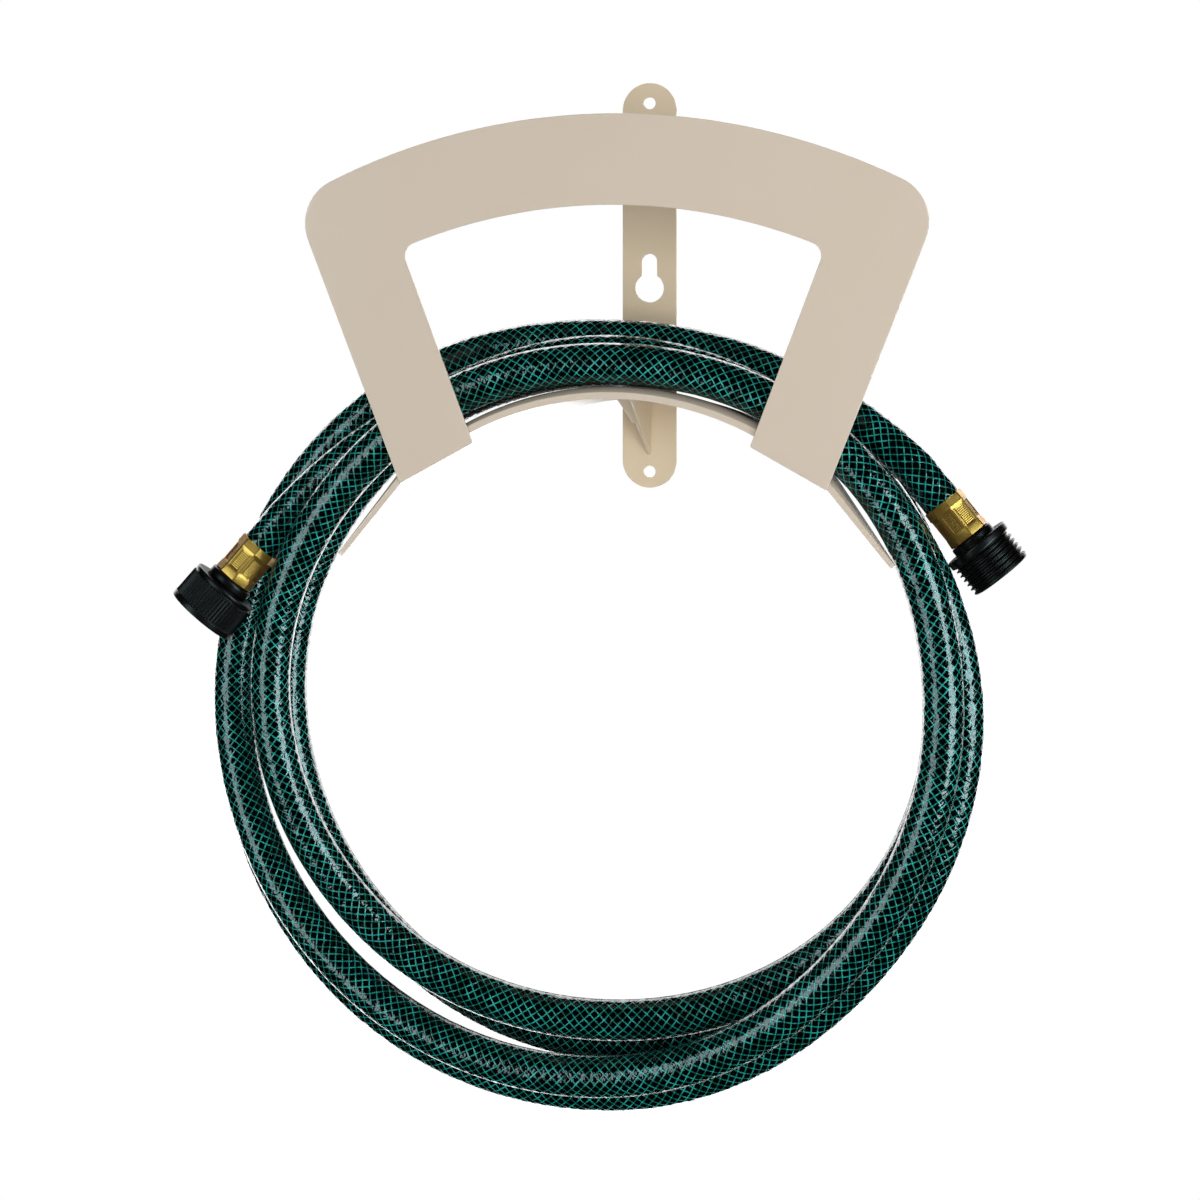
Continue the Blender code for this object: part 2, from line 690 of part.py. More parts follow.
def build_left_coupling(brass, black, rubber):
    """Female coupling: sleeve, tail, ribbed swivel nut and washer."""
    frame = coupling_frame("left_coupling", LEFT_END, LEFT_AXIS)
    build_ferrule("female_ferrule", frame, brass)
    shoulder = ferrule_end()
    nut = nut_start()
    neck = TAIL_NECK_DIAMETER / 2
    collar = neck + TAIL_COLLAR_RISE
    flange = nut + NUT_REAR_WALL + TURN_GAP
    flange_radius = NUT_BORE_RADIUS - TAIL_FLANGE_CLEARANCE
    seat = flange + TAIL_FLANGE_THICKNESS
    tail = [
        (BORE_RADIUS, 2 * JOIN_GAP),
        (SPIGOT_RADIUS, 2 * JOIN_GAP),
        (SPIGOT_RADIUS, shoulder),
        (collar - TAIL_COLLAR_BEVEL, shoulder),
        (collar, shoulder + TAIL_COLLAR_BEVEL),
        (collar, nut - TURN_GAP),
        (neck, nut - TURN_GAP),
        (neck, flange),
        (flange_radius, flange),
        (flange_radius, seat),
        (BORE_RADIUS, seat),
    ]
    turned("female_tail", tail, frame, black)

    hole = neck + TURN_GAP
    rear = NUT_BORE_RADIUS + NUT_REAR_RISE
    groove_radius = NUT_BORE_RADIUS + NUT_GROOVE_RISE
    rib = NUT_BORE_RADIUS + NUT_RIB_RISE
    front = NUT_BORE_RADIUS + NUT_FRONT_RISE
    end = nut + NUT_LENGTH
    groove = nut + NUT_GROOVE_START
    ribs = groove + NUT_GROOVE_LENGTH
    band = end - NUT_FRONT_BAND
    outline = [
        (hole, nut),
        (rear - EDGE_BEVEL, nut),
        (rear, nut + EDGE_BEVEL),
        (rear, groove),
        (groove_radius, groove),
        (groove_radius, ribs),
        (rib, ribs),
        (rib, band),
        (front, band),
        (front, end - EDGE_BEVEL),
        (front - EDGE_BEVEL, end),
        (NUT_BORE_RADIUS, end),
        (NUT_BORE_RADIUS, nut + NUT_REAR_WALL),
        (hole, nut + NUT_REAR_WALL),
    ]
    ribbed = (outline.index((rib, ribs)), outline.index((rib, band)))
    turned("swivel_nut", outline, frame, black, 2 * NUT_RIBS, ribbed, NUT_RIB_DEPTH)

    face = seat + JOIN_GAP
    washer_radius = NUT_BORE_RADIUS - WASHER_CLEARANCE
    washer = [
        (WASHER_HOLE_DIAMETER / 2, face),
        (washer_radius, face),
        (washer_radius, face + WASHER_THICKNESS),
        (WASHER_HOLE_DIAMETER / 2, face + WASHER_THICKNESS),
    ]
    turned("hose_washer", washer, frame, rubber)
    centre = frame.matrix_world @ Vector((0, 0, nut + NUT_LENGTH / 2))
    axis = frame.matrix_world.to_3x3() @ Vector((0, 0, 1))
    print("swivel centre", [round(v, 5) for v in centre], "axis", [round(v, 5) for v in axis])


def build_right_coupling(brass, black):
    """Male coupling: sleeve, and a fitting with a collar, a flange and a hose thread."""
    frame = coupling_frame("right_coupling", RIGHT_END, RIGHT_AXIS)
    build_ferrule("male_ferrule", frame, brass)
    shoulder = ferrule_end()
    collar = shoulder + MALE_COLLAR_LENGTH
    flange = collar + MALE_FLANGE_THICKNESS
    root = THREAD_CREST_RADIUS - THREAD_DEPTH
    rim = THREAD_CREST_RADIUS + MALE_FLANGE_RISE
    flank = (THREAD_PITCH - THREAD_CREST_WIDTH - THREAD_ROOT_WIDTH) / 2
    fitting = [
        (BORE_RADIUS, 2 * JOIN_GAP),
        (SPIGOT_RADIUS, 2 * JOIN_GAP),
        (SPIGOT_RADIUS, shoulder),
        (MALE_COLLAR_DIAMETER / 2, shoulder),
        (MALE_COLLAR_DIAMETER / 2, collar),
        (rim - EDGE_BEVEL, collar),
        (rim, collar + EDGE_BEVEL),
        (rim, flange - EDGE_BEVEL),
        (rim - EDGE_BEVEL, flange),
        (root, flange),
    ]
    for number in range(THREAD_CRESTS):
        start = flange + THREAD_PITCH * number + THREAD_ROOT_WIDTH
        fitting.append((root, start))
        fitting.append((THREAD_CREST_RADIUS, start + flank))
        fitting.append((THREAD_CREST_RADIUS, start + flank + THREAD_CREST_WIDTH))
        fitting.append((root, start + 2 * flank + THREAD_CREST_WIDTH))
    end = fitting[-1][1]
    mouth = MALE_MOUTH_DIAMETER / 2
    mouth_floor = end - MALE_MOUTH_DEPTH
    fitting += [(mouth, end), (mouth, mouth_floor), (BORE_RADIUS, mouth_floor)]
    turned("male_fitting", fitting, frame, black)


def main():
    """Build every piece."""
    clear_scene()
    taupe = material("taupe_coat", "CDC0AE", 0.3)
    brass = material("brass", "B8954A", 0.25, metallic=1.0)
    black = material("black_plastic", "1E1E20", 0.45)
    rubber = material("washer_rubber", "171717", 0.8)
    green = material("green_hose", "0C3A30", 0.25)
    build_back_plate(taupe)
    build_saddle(taupe)
    build_front_guard(taupe)
    build_gusset(taupe)
    build_hose(green)
    build_left_coupling(brass, black, rubber)
    build_right_coupling(brass, black)


main()
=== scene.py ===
"""Studio scene of a wall hose hanger with the coiled garden hose that hangs on it.

The hanger is pressed steel sheet under a powder coat. The hose is a half-inch one with a
clear sleeve over a green net, a swivel nut on its left end and a male thread on its right
end. Every size is in metres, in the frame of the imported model: the wall is the plane y = 0
and the hanger reaches out towards -Y.
"""

import logging
import math
from dataclasses import dataclass, field
from enum import Enum
from typing import Any, Sequence

import bmesh
import bpy
import numpy as np
from bpy.types import Material, Mesh, Node, NodeSocket, NodeTree, Object
from mathutils import Matrix, Vector


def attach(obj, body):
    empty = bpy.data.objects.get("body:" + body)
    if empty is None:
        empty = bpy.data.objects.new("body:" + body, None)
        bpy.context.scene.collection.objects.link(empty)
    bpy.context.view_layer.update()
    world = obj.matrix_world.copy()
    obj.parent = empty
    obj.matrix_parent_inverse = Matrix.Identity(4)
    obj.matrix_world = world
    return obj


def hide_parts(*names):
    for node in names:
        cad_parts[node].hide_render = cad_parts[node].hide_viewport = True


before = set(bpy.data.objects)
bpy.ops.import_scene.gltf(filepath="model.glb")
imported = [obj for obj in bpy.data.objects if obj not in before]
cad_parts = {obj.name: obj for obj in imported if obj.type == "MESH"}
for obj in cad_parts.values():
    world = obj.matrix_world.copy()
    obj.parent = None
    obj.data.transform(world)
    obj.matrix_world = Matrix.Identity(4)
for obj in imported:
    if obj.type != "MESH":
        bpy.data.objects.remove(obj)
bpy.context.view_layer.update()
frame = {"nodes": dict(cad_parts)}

LOG = logging.getLogger("hose_hanger")
MILLIMETRE = 0.001
# How far a small corner of a turned part is rounded
FINE_WORK = 0.0003
# Lets the large faces alone set the normals
FACE_WEIGHT = 100
Pair = tuple[float, float]
Triple = tuple[float, float, float]


class Slot(Enum):
    """Material slots of the record."""

    TAUPE_COAT = "taupe_coat"
    GREEN_HOSE = "green_hose"
    BRASS = "brass"
    BLACK_PLASTIC = "black_plastic"
    WASHER_RUBBER = "washer_rubber"


class Body(Enum):
    """Moving groups of the model."""

    HANGER = "hanger"
    HOSE_SET = "hose_set"
    SWIVEL_NUT = "swivel_nut"


class Ends(Enum):
    """How a grid of rings is closed along its rows."""

    LOOPED = "looped"
    CAPPED = "capped"


def srgb(code: str) -> tuple[float, float, float, float]:
    """Turn an sRGB hex colour into linear light.

    Args:
        code: A colour such as #CFC2AF.

    Returns:
        Red, green, blue and an alpha of 1.
    """
    channels = [int(code[i:i + 2], 16) / 255 for i in (1, 3, 5)]
    linear = [c / 12.92 if c <= 0.04045 else ((c + 0.055) / 1.055) ** 2.4 for c in channels]
    return (*linear, 1.0)


def fill_sockets(node: Node, inputs: dict[Any, Any]) -> None:
    """Give a node its values and links.

    Args:
        node: The node.
        inputs: Socket name or number to a value, or to the output that feeds it.
    """
    for key, value in inputs.items():
        if isinstance(value, NodeSocket):
            node.id_data.links.new(value, node.inputs[key])
        else:
            node.inputs[key].default_value = value


def add_node(tree: NodeTree, kind: str, inputs: dict[Any, Any] | None = None,
             **settings: Any) -> Node:
    """Add a node with its settings, values and links.

    Args:
        tree: The node tree that gets it.
        kind: Blender's type name of the node.
        inputs: Socket name or number to a value, or to the output that feeds it.
        settings: Properties of the node itself.

    Returns:
        The new node.
    """
    node = tree.nodes.new(kind)
    for name, value in settings.items():
        setattr(node, name, value)
    fill_sockets(node, inputs or {})
    return node


def start_material(name: str) -> tuple[Material, NodeTree, Node]:
    """Make a material that holds only a Principled shader and its output.

    Args:
        name: What the real material is.

    Returns:
        The material, its node tree and the shader.
    """
    material = bpy.data.materials.new(name)
    material.use_nodes = True
    return material, material.node_tree, material.node_tree.nodes["Principled BSDF"]


@dataclass(frozen=True)
class PowderCoat:
    """Glossy polyester powder coat, sprayed and baked on steel sheet.

    It flows out nearly smooth when baked. What is left of the powder is a faint orange peel,
    which the eye sees as soft, slightly uneven reflections. Towards the wall the colour is painted
    creamier: painted bounce light, in place of light going to and fro between sheets and wall.
    """

    colour: str = "#CEC0AF"
    thick_colour: str = "#D1C4B4"
    painted_bounce_colour: str = "#E3D1B5"
    front_depth: float = -85 * MILLIMETRE
    wall_depth: float = -25 * MILLIMETRE
    roughness: float = 0.13
    ior: float = 1.5
    peel_size: float = 1.1 * MILLIMETRE
    peel_height: float = 0.012 * MILLIMETRE
    shade_size: float = 45 * MILLIMETRE

    def build(self) -> Material:
        """Make the material.

        Returns:
            The coated steel.
        """
        material, tree, shader = start_material("taupe_powder_coated_steel")
        place = add_node(tree, "ShaderNodeTexCoord").outputs["Object"]
        shade = add_node(tree, "ShaderNodeTexNoise",
                         {"Vector": place, "Scale": 1 / self.shade_size, "Detail": 2.0})
        colour = add_node(tree, "ShaderNodeMix",
                          {0: shade.outputs["Fac"], 6: srgb(self.colour),
                           7: srgb(self.thick_colour)}, data_type="RGBA")
        # Painted bounce light: the base colour turns creamier towards the wall, standing in for
        # light that goes to and fro between the sheets and the wall
        depth = add_node(tree, "ShaderNodeSeparateXYZ", {0: place}).outputs["Y"]
        wall_bounce_share = add_node(tree, "ShaderNodeMapRange",
                        {0: depth, 1: self.front_depth, 2: self.wall_depth},
                        interpolation_type="SMOOTHSTEP")
        bounce_lit_colour = add_node(tree, "ShaderNodeMix",
                          {0: wall_bounce_share.outputs[0], 6: colour.outputs[2],
                           7: srgb(self.painted_bounce_colour)}, data_type="RGBA")
        peel = add_node(tree, "ShaderNodeTexNoise",
                        {"Vector": place, "Scale": 1 / self.peel_size, "Detail": 1.0})
        bump = add_node(tree, "ShaderNodeBump",
                        {"Height": peel.outputs["Fac"], "Distance": self.peel_height})
        fill_sockets(shader, {"Base Color": bounce_lit_colour.outputs[2], "Normal": bump.outputs[0],
                              "Roughness": self.roughness, "IOR": self.ior})
        return material


@dataclass(frozen=True)
class NettedHose:
    """Clear PVC sleeve over a crossed green net on a black core.

    The yarns cross at right angles, 45 degrees to the hose. They show bright through the
    sleeve, whose smooth outside mirrors the studio's tall lamps as two broken stripes. Patches
    of the yarn are painted dim and others bright: painted shade and painted light on the net.
    """

    core: str = "#000302"
    painted_shade_yarn: str = "#04352A"
    painted_lit_yarn: str = "#2AA8A0"
    yarns: int = 13
    yarn_pitch: float = 4.0 * MILLIMETRE
    yarn_width: float = 0.40 * MILLIMETRE
    yarn_edge: Pair = (1.7, 0.4)
    wander_size: float = 7 * MILLIMETRE
    wander: float = 0.32
    light_patch_size: float = 5 * MILLIMETRE
    light_patch_limits: Pair = (0.40, 0.66)
    least_lit: float = 0.12
    dent_size: float = 3.2 * MILLIMETRE
    net_roughness: float = 0.5
    sleeve_roughness: float = 0.10
    sleeve_ior: float = 1.55
    relief: float = 0.48 * MILLIMETRE
    net_share: float = 0.08

    def build(self) -> Material:
        """Make the material.

        Returns:
            The hose's skin, which reads the attributes "along" and "around" of its tube.
        """
        material, tree, shader = start_material("clear_sleeve_over_green_net")
        along = add_node(tree, "ShaderNodeAttribute", attribute_name="along").outputs["Fac"]
        around = add_node(tree, "ShaderNodeAttribute", attribute_name="around").outputs["Fac"]
        place = add_node(tree, "ShaderNodeTexCoord").outputs["Object"]
        drift = add_node(tree, "ShaderNodeTexNoise",
                         {"Vector": place, "Scale": 1 / self.wander_size, "Detail": 2.0})
        lane = add_node(tree, "ShaderNodeMath", {0: around, 1: float(self.yarns)},
                        operation="MULTIPLY")
        half_width = self.yarn_width / (self.yarn_pitch / math.sqrt(2)) / 2
        lines = []
        for turn in (1.0, -1.0):
            wind = add_node(tree, "ShaderNodeMath",
                            {0: along, 1: turn / self.yarn_pitch, 2: lane.outputs[0]},
                            operation="MULTIPLY_ADD")
            wound = add_node(tree, "ShaderNodeMath",
                             {0: drift.outputs["Fac"], 1: turn * self.wander,
                              2: wind.outputs[0]}, operation="MULTIPLY_ADD")
            away = add_node(tree, "ShaderNodeMath", {0: wound.outputs[0], 1: 0.5},
                            operation="PINGPONG")
            line = add_node(tree, "ShaderNodeMapRange",
                            {0: away.outputs[0], 1: half_width * self.yarn_edge[0],
                             2: half_width * self.yarn_edge[1]},
                            interpolation_type="SMOOTHSTEP")
            lines.append(line.outputs[0])
        net = add_node(tree, "ShaderNodeMath", {0: lines[0], 1: lines[1]}, operation="MAXIMUM")
        crossing = add_node(tree, "ShaderNodeMath", {0: lines[0], 1: lines[1]},
                            operation="MULTIPLY")
        # Painted light and shade: noise patches switch the yarns between a dim shaded colour and a
        # bright lit colour, and the crossings are drawn at full brightness
        painted_light_patches = add_node(tree, "ShaderNodeTexNoise",
                           {"Vector": place, "Scale": 1 / self.light_patch_size, "Detail": 3.0,
                            "Roughness": 0.65})
        lit = add_node(tree, "ShaderNodeMapRange",
                       {0: painted_light_patches.outputs["Fac"], 1: self.light_patch_limits[0],
                        2: self.light_patch_limits[1], 3: self.least_lit, 4: 1.0},
                       interpolation_type="SMOOTHSTEP")
        lit_more = add_node(tree, "ShaderNodeMath", {0: lit.outputs[0], 1: crossing.outputs[0]},
                            operation="MAXIMUM")
        yarn = add_node(tree, "ShaderNodeMix",
                        {0: lit_more.outputs[0], 6: srgb(self.painted_shade_yarn),
                         7: srgb(self.painted_lit_yarn)}, data_type="RGBA")
        colour = add_node(tree, "ShaderNodeMix",
                          {0: net.outputs[0], 6: srgb(self.core), 7: yarn.outputs[2]},
                          data_type="RGBA")
        dents = add_node(tree, "ShaderNodeTexNoise",
                         {"Vector": place, "Scale": 1 / self.dent_size, "Detail": 2.0})
        raised = add_node(tree, "ShaderNodeMath", {0: net.outputs[0], 1: self.net_share,
                                                   2: dents.outputs["Fac"]},
                          operation="MULTIPLY_ADD")
        bump = add_node(tree, "ShaderNodeBump",
                        {"Height": raised.outputs[0], "Distance": self.relief})
        fill_sockets(shader, {"Base Color": colour.outputs[2], "Normal": bump.outputs[0],
                              "Coat Normal": bump.outputs[0], "Roughness": self.net_roughness,
                              "Specular IOR Level": 0.0, "Coat Weight": 1.0,
                              "Coat Roughness": self.sleeve_roughness,
                              "Coat IOR": self.sleeve_ior})
        return material


@dataclass(frozen=True)
class PressedBrass:
    """Yellow brass strip, rolled, knurled and crimped into a sleeve.

    Each pressed facet mirrors the room on its own, so one is bright yellow and the next
    dark brown, with faint rolling marks along it. A film of tarnish scatters some light, so
    the darkest facets stay olive brown.
    """

    colour: str = "#CEA14E"
    dull_colour: str = "#A37737"
    roughness_limits: Pair = (0.27, 0.45)
    bare_share: float = 0.86
    dull_size: float = 3.5 * MILLIMETRE
    mark_size: float = 0.35 * MILLIMETRE
    mark_height: float = 0.004 * MILLIMETRE

    def build(self) -> Material:
        """Make the material.

        Returns:
            The brass.
        """
        material, tree, shader = start_material("pressed_brass")
        place = add_node(tree, "ShaderNodeTexCoord").outputs["Object"]
        dull = add_node(tree, "ShaderNodeTexNoise",
                        {"Vector": place, "Scale": 1 / self.dull_size, "Detail": 4.0})
        colour = add_node(tree, "ShaderNodeMix",
                          {0: dull.outputs["Fac"], 6: srgb(self.colour),
                           7: srgb(self.dull_colour)}, data_type="RGBA")
        spread = add_node(tree, "ShaderNodeMapRange",
                          {0: dull.outputs["Fac"], 3: self.roughness_limits[0],
                           4: self.roughness_limits[1]})
        marks = add_node(tree, "ShaderNodeTexNoise",
                         {"Vector": place, "Scale": 1 / self.mark_size, "Detail": 2.0})
        bump = add_node(tree, "ShaderNodeBump",
                        {"Height": marks.outputs["Fac"], "Distance": self.mark_height})
        fill_sockets(shader, {"Base Color": colour.outputs[2], "Roughness": spread.outputs[0],
                              "Normal": bump.outputs[0], "Metallic": self.bare_share})
        return material


@dataclass(frozen=True)
class MouldedPlastic:
    """Black polypropylene, injection moulded in a finely sparked tool.

    The tool leaves a fine matt grain, and the plastic's own skin keeps a soft gloss on top
    of it, so the rounded rims show broad grey highlights.
    """

    colour: str = "#060505"
    worn_colour: str = "#0D0B0B"
    roughness: float = 0.33
    ior: float = 1.49
    gloss_level: float = 0.25
    cloud_size: float = 8 * MILLIMETRE
    grain_size: float = 0.3 * MILLIMETRE
    grain_height: float = 0.01 * MILLIMETRE

    def build(self) -> Material:
        """Make the material.

        Returns:
            The black plastic.
        """
        material, tree, shader = start_material("black_polypropylene")
        place = add_node(tree, "ShaderNodeTexCoord").outputs["Object"]
        cloud = add_node(tree, "ShaderNodeTexNoise",
                         {"Vector": place, "Scale": 1 / self.cloud_size, "Detail": 3.0})
        colour = add_node(tree, "ShaderNodeMix",
                          {0: cloud.outputs["Fac"], 6: srgb(self.colour),
                           7: srgb(self.worn_colour)}, data_type="RGBA")
        grain = add_node(tree, "ShaderNodeTexNoise",
                         {"Vector": place, "Scale": 1 / self.grain_size, "Detail": 1.0})
        bump = add_node(tree, "ShaderNodeBump",
                        {"Height": grain.outputs["Fac"], "Distance": self.grain_height})
        fill_sockets(shader, {"Base Color": colour.outputs[2], "Normal": bump.outputs[0],
                              "Roughness": self.roughness, "IOR": self.ior,
                              "Specular IOR Level": self.gloss_level})
        return material


@dataclass(frozen=True)
class WasherRubber:
    """Black EPDM rubber, punched from sheet.

    It is matt, with a dusty bloom that shows as faint grey clouds.
    """

    colour: str = "#161616"
    bloom_colour: str = "#2B2B2A"
    roughness: float = 0.75
    ior: float = 1.52
    bloom_size: float = 5 * MILLIMETRE
    bloom_height: float = 0.02 * MILLIMETRE

    def build(self) -> Material:
        """Make the material.

        Returns:
            The rubber.
        """
        material, tree, shader = start_material("epdm_washer_rubber")
        place = add_node(tree, "ShaderNodeTexCoord").outputs["Object"]
        bloom = add_node(tree, "ShaderNodeTexNoise",
                         {"Vector": place, "Scale": 1 / self.bloom_size, "Detail": 5.0})
        colour = add_node(tree, "ShaderNodeMix",
                          {0: bloom.outputs["Fac"], 6: srgb(self.colour),
                           7: srgb(self.bloom_colour)}, data_type="RGBA")
        bump = add_node(tree, "ShaderNodeBump",
                        {"Height": bloom.outputs["Fac"], "Distance": self.bloom_height})
        fill_sockets(shader, {"Base Color": colour.outputs[2], "Normal": bump.outputs[0],
                              "Roughness": self.roughness, "IOR": self.ior})
        return material


def dress(name: str, mesh: Mesh, material: Material, body: Body, node: str,
          steady: bool = True) -> Object:
    """Put a finished mesh into the scene as one piece.

    Args:
        name: Name of the piece.
        mesh: Its mesh, in place.
        material: Its finish.
        body: The moving group that carries it.
        node: The solid that it stands for.
        steady: Weight the normals by face, so that flat faces stay flat beside rounded rims.

    Returns:
        The piece.
    """
    mesh.materials.append(material)
    mesh.shade_smooth()
    piece = bpy.data.objects.new(name, mesh)
    bpy.context.scene.collection.objects.link(piece)
    if steady:
        normals = piece.modifiers.new("steady_normals", "WEIGHTED_NORMAL")
        normals.keep_sharp = True
        normals.weight = FACE_WEIGHT
    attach(piece, body.value)
    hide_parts(node)
    LOG.info("%s: %d faces, rides on %s", name, len(mesh.polygons), body.value)
    return piece


def ease(points: Sequence[Pair], cuts: Sequence[float], steps: int = 4) -> list[Pair]:
    """Round the corners of a closed outline.

    Args:
        points: Corners of the outline.
        cuts: Length that each corner loses on both sides; 0 keeps it sharp.
        steps: Points that replace a rounded corner, less one.

    Returns:
        The eased outline, with the same number of points for the same non-zero cuts.
    """
    eased: list[Pair] = []
    count = len(points)
    for i, (corner, cut) in enumerate(zip(points, cuts)):
        if cut == 0:
            eased.append(corner)
            continue
        here = np.array(corner)
        before = np.array(points[i - 1]) - here
        after = np.array(points[(i + 1) % count]) - here
        start = here + before * min(cut / np.linalg.norm(before), 0.5)
        end = here + after * min(cut / np.linalg.norm(after), 0.5)
        for t in np.linspace(0.0, 1.0, steps + 1):
            place = (1 - t) ** 2 * start + 2 * t * (1 - t) * here + t ** 2 * end
            eased.append((float(place[0]), float(place[1])))
    return eased


def arc(centre: Pair, radius: float, start: float, end: float, steps: int = 48) -> list[Pair]:
    """Points of an arc.

    Args:
        centre: Its centre, across and up.
        radius: Its radius.
        start: Angle of the first point, anticlockwise from +X.
        end: Angle of the last point.
        steps: Number of equal steps.

    Returns:
        The points, both ends among them.
    """
    return [(centre[0] + radius * math.cos(a), centre[1] + radius * math.sin(a))
            for a in np.linspace(start, end, steps + 1)]


def grid_mesh(name: str, grid: np.ndarray, ends: Ends, place: Matrix | None = None) -> Mesh:
    """Skin a stack of closed rings.

    Args:
        name: Name of the mesh.
        grid: Points as rows by columns by 3; each row is a closed ring.
        ends: Whether the last row joins the first, or both are capped.
        place: Where to move the mesh, if anywhere.

    Returns:
        The mesh, with its faces outwards.
    """
    rows, columns = grid.shape[:2]
    count = rows if ends is Ends.LOOPED else rows - 1
    row = np.arange(count)[:, None]
    column = np.arange(columns)[None, :]
    beside, above = (column + 1) % columns, (row + 1) % rows
    quads = np.stack([row * columns + column, row * columns + beside,
                      above * columns + beside, above * columns + column], axis=-1)
    faces: list[Any] = quads.reshape(-1, 4).tolist()
    if ends is Ends.CAPPED:
        faces.append(list(range(columns))[::-1])
        faces.append(list(range((rows - 1) * columns, rows * columns)))
    mesh = bpy.data.meshes.new(name)
    mesh.from_pydata(grid.reshape(-1, 3).tolist(), [], faces)
    if place is not None:
        mesh.transform(place)
    mesh.update()
    corners = np.array([mesh.vertices[i].co for f in faces for i in f[:3]]).reshape(-1, 3, 3)
    if np.linalg.det(corners - corners.mean(axis=(0, 1))).sum() < 0:
        mesh.flip_normals()
    return mesh


def flat_sheet(name: str, outer: Sequence[Pair], holes: Sequence[Sequence[Pair]], back: float,
               thickness: float, rim: float, steps: int = 3) -> Mesh:
    """A flat sheet parallel to the wall, with rounded rims round its outline and holes.

    Args:
        name: Name of the mesh.
        outer: Outline in x and z, anticlockwise from the front.
        holes: Outlines of the holes.
        back: Distance of the back face, in y.
        thickness: Thickness of the sheet.
        rim: Radius of the rounded rims.
        steps: Number of flats across each rim.

    Returns:
        The mesh.
    """
    quarter = np.linspace(0.0, math.pi / 2, steps + 1)
    levels = [(rim * (1 - math.sin(a)), back - rim * (1 - math.cos(a))) for a in quarter]
    levels += [(inset, 2 * back - thickness - y) for inset, y in reversed(levels)]
    bm = bmesh.new()
    caps: tuple[list[Any], list[Any]] = ([], [])
    for outline in (outer, *holes):
        points = np.array(outline)
        ahead = np.roll(points, -1, axis=0)
        area = float(np.sum(points[:, 0] * ahead[:, 1] - ahead[:, 0] * points[:, 1]))
        if (area > 0) != (outline is outer):
            points = points[::-1]
        edge = np.roll(points, -1, axis=0) - points
        edge /= np.linalg.norm(edge, axis=1)[:, None]
        normal = np.stack([-edge[:, 1], edge[:, 0]], axis=1)
        last = np.roll(normal, 1, axis=0)
        inward = (normal + last) / (1 + np.sum(normal * last, axis=1))[:, None]
        rings = []
        for inset, y in levels:
            rings.append([bm.verts.new((x, y, z)) for x, z in points + inset * inward])
        for low, high in zip(rings, rings[1:]):
            for i in range(len(low)):
                j = (i + 1) % len(low)
                bm.faces.new((low[i], low[j], high[j], high[i]))
        for cap, ring in zip(caps, (rings[0], rings[-1])):
            for i in range(len(ring)):
                cap.append(bm.edges.get((ring[i - 1], ring[i])))
    for cap in caps:
        bmesh.ops.triangle_fill(bm, use_beauty=True, edges=cap)
    bmesh.ops.recalc_face_normals(bm, faces=bm.faces)
    mesh = bpy.data.meshes.new(name)
    bm.to_mesh(mesh)
    bm.free()
    return mesh


@dataclass
class WallPlate:
    """Upright strip that is screwed to the wall, with two screw holes and a keyhole."""

    width: float = 0.024
    thickness: float = 0.002
    top: float = 0.1273
    bottom: float = -0.0494
    screw_hole: float = 0.0052
    top_hole_from_end: float = 0.0088
    bottom_hole_from_end: float = 0.0070
    keyhole_height: float = 0.0378
    keyhole_head: float = 0.0125
    keyhole_slot: float = 0.0065
    keyhole_length: float = 0.0212
    rim: float = 0.0004

    def build(self, coat: Material) -> Object:
        """Build and dress the plate.

        Args:
            coat: Its finish.

        Returns:
            The plate.
        """
        end = self.width / 2
        outline = arc((0, self.top - end), end, 0, math.pi)
        outline += arc((0, self.bottom + end), end, math.pi, 2 * math.pi)
        holes = []
        for height in (self.top - self.top_hole_from_end, self.bottom + self.bottom_hole_from_end):
            holes.append(arc((0, height), self.screw_hole / 2, 0, 2 * math.pi)[:-1])
        head, slot = self.keyhole_head / 2, self.keyhole_slot / 2
        middle = self.keyhole_height - head + self.keyhole_length - slot
        mouth = math.acos(slot / head)
        holes.append(arc((0, self.keyhole_height), head, math.pi - mouth, 2 * math.pi + mouth)
                     + arc((0, middle), slot, 0, math.pi))
        mesh = flat_sheet("wall_plate", outline, holes, 0.0, self.thickness, self.rim)
        return dress("wall_plate", mesh, coat, Body.HANGER, "back_plate")


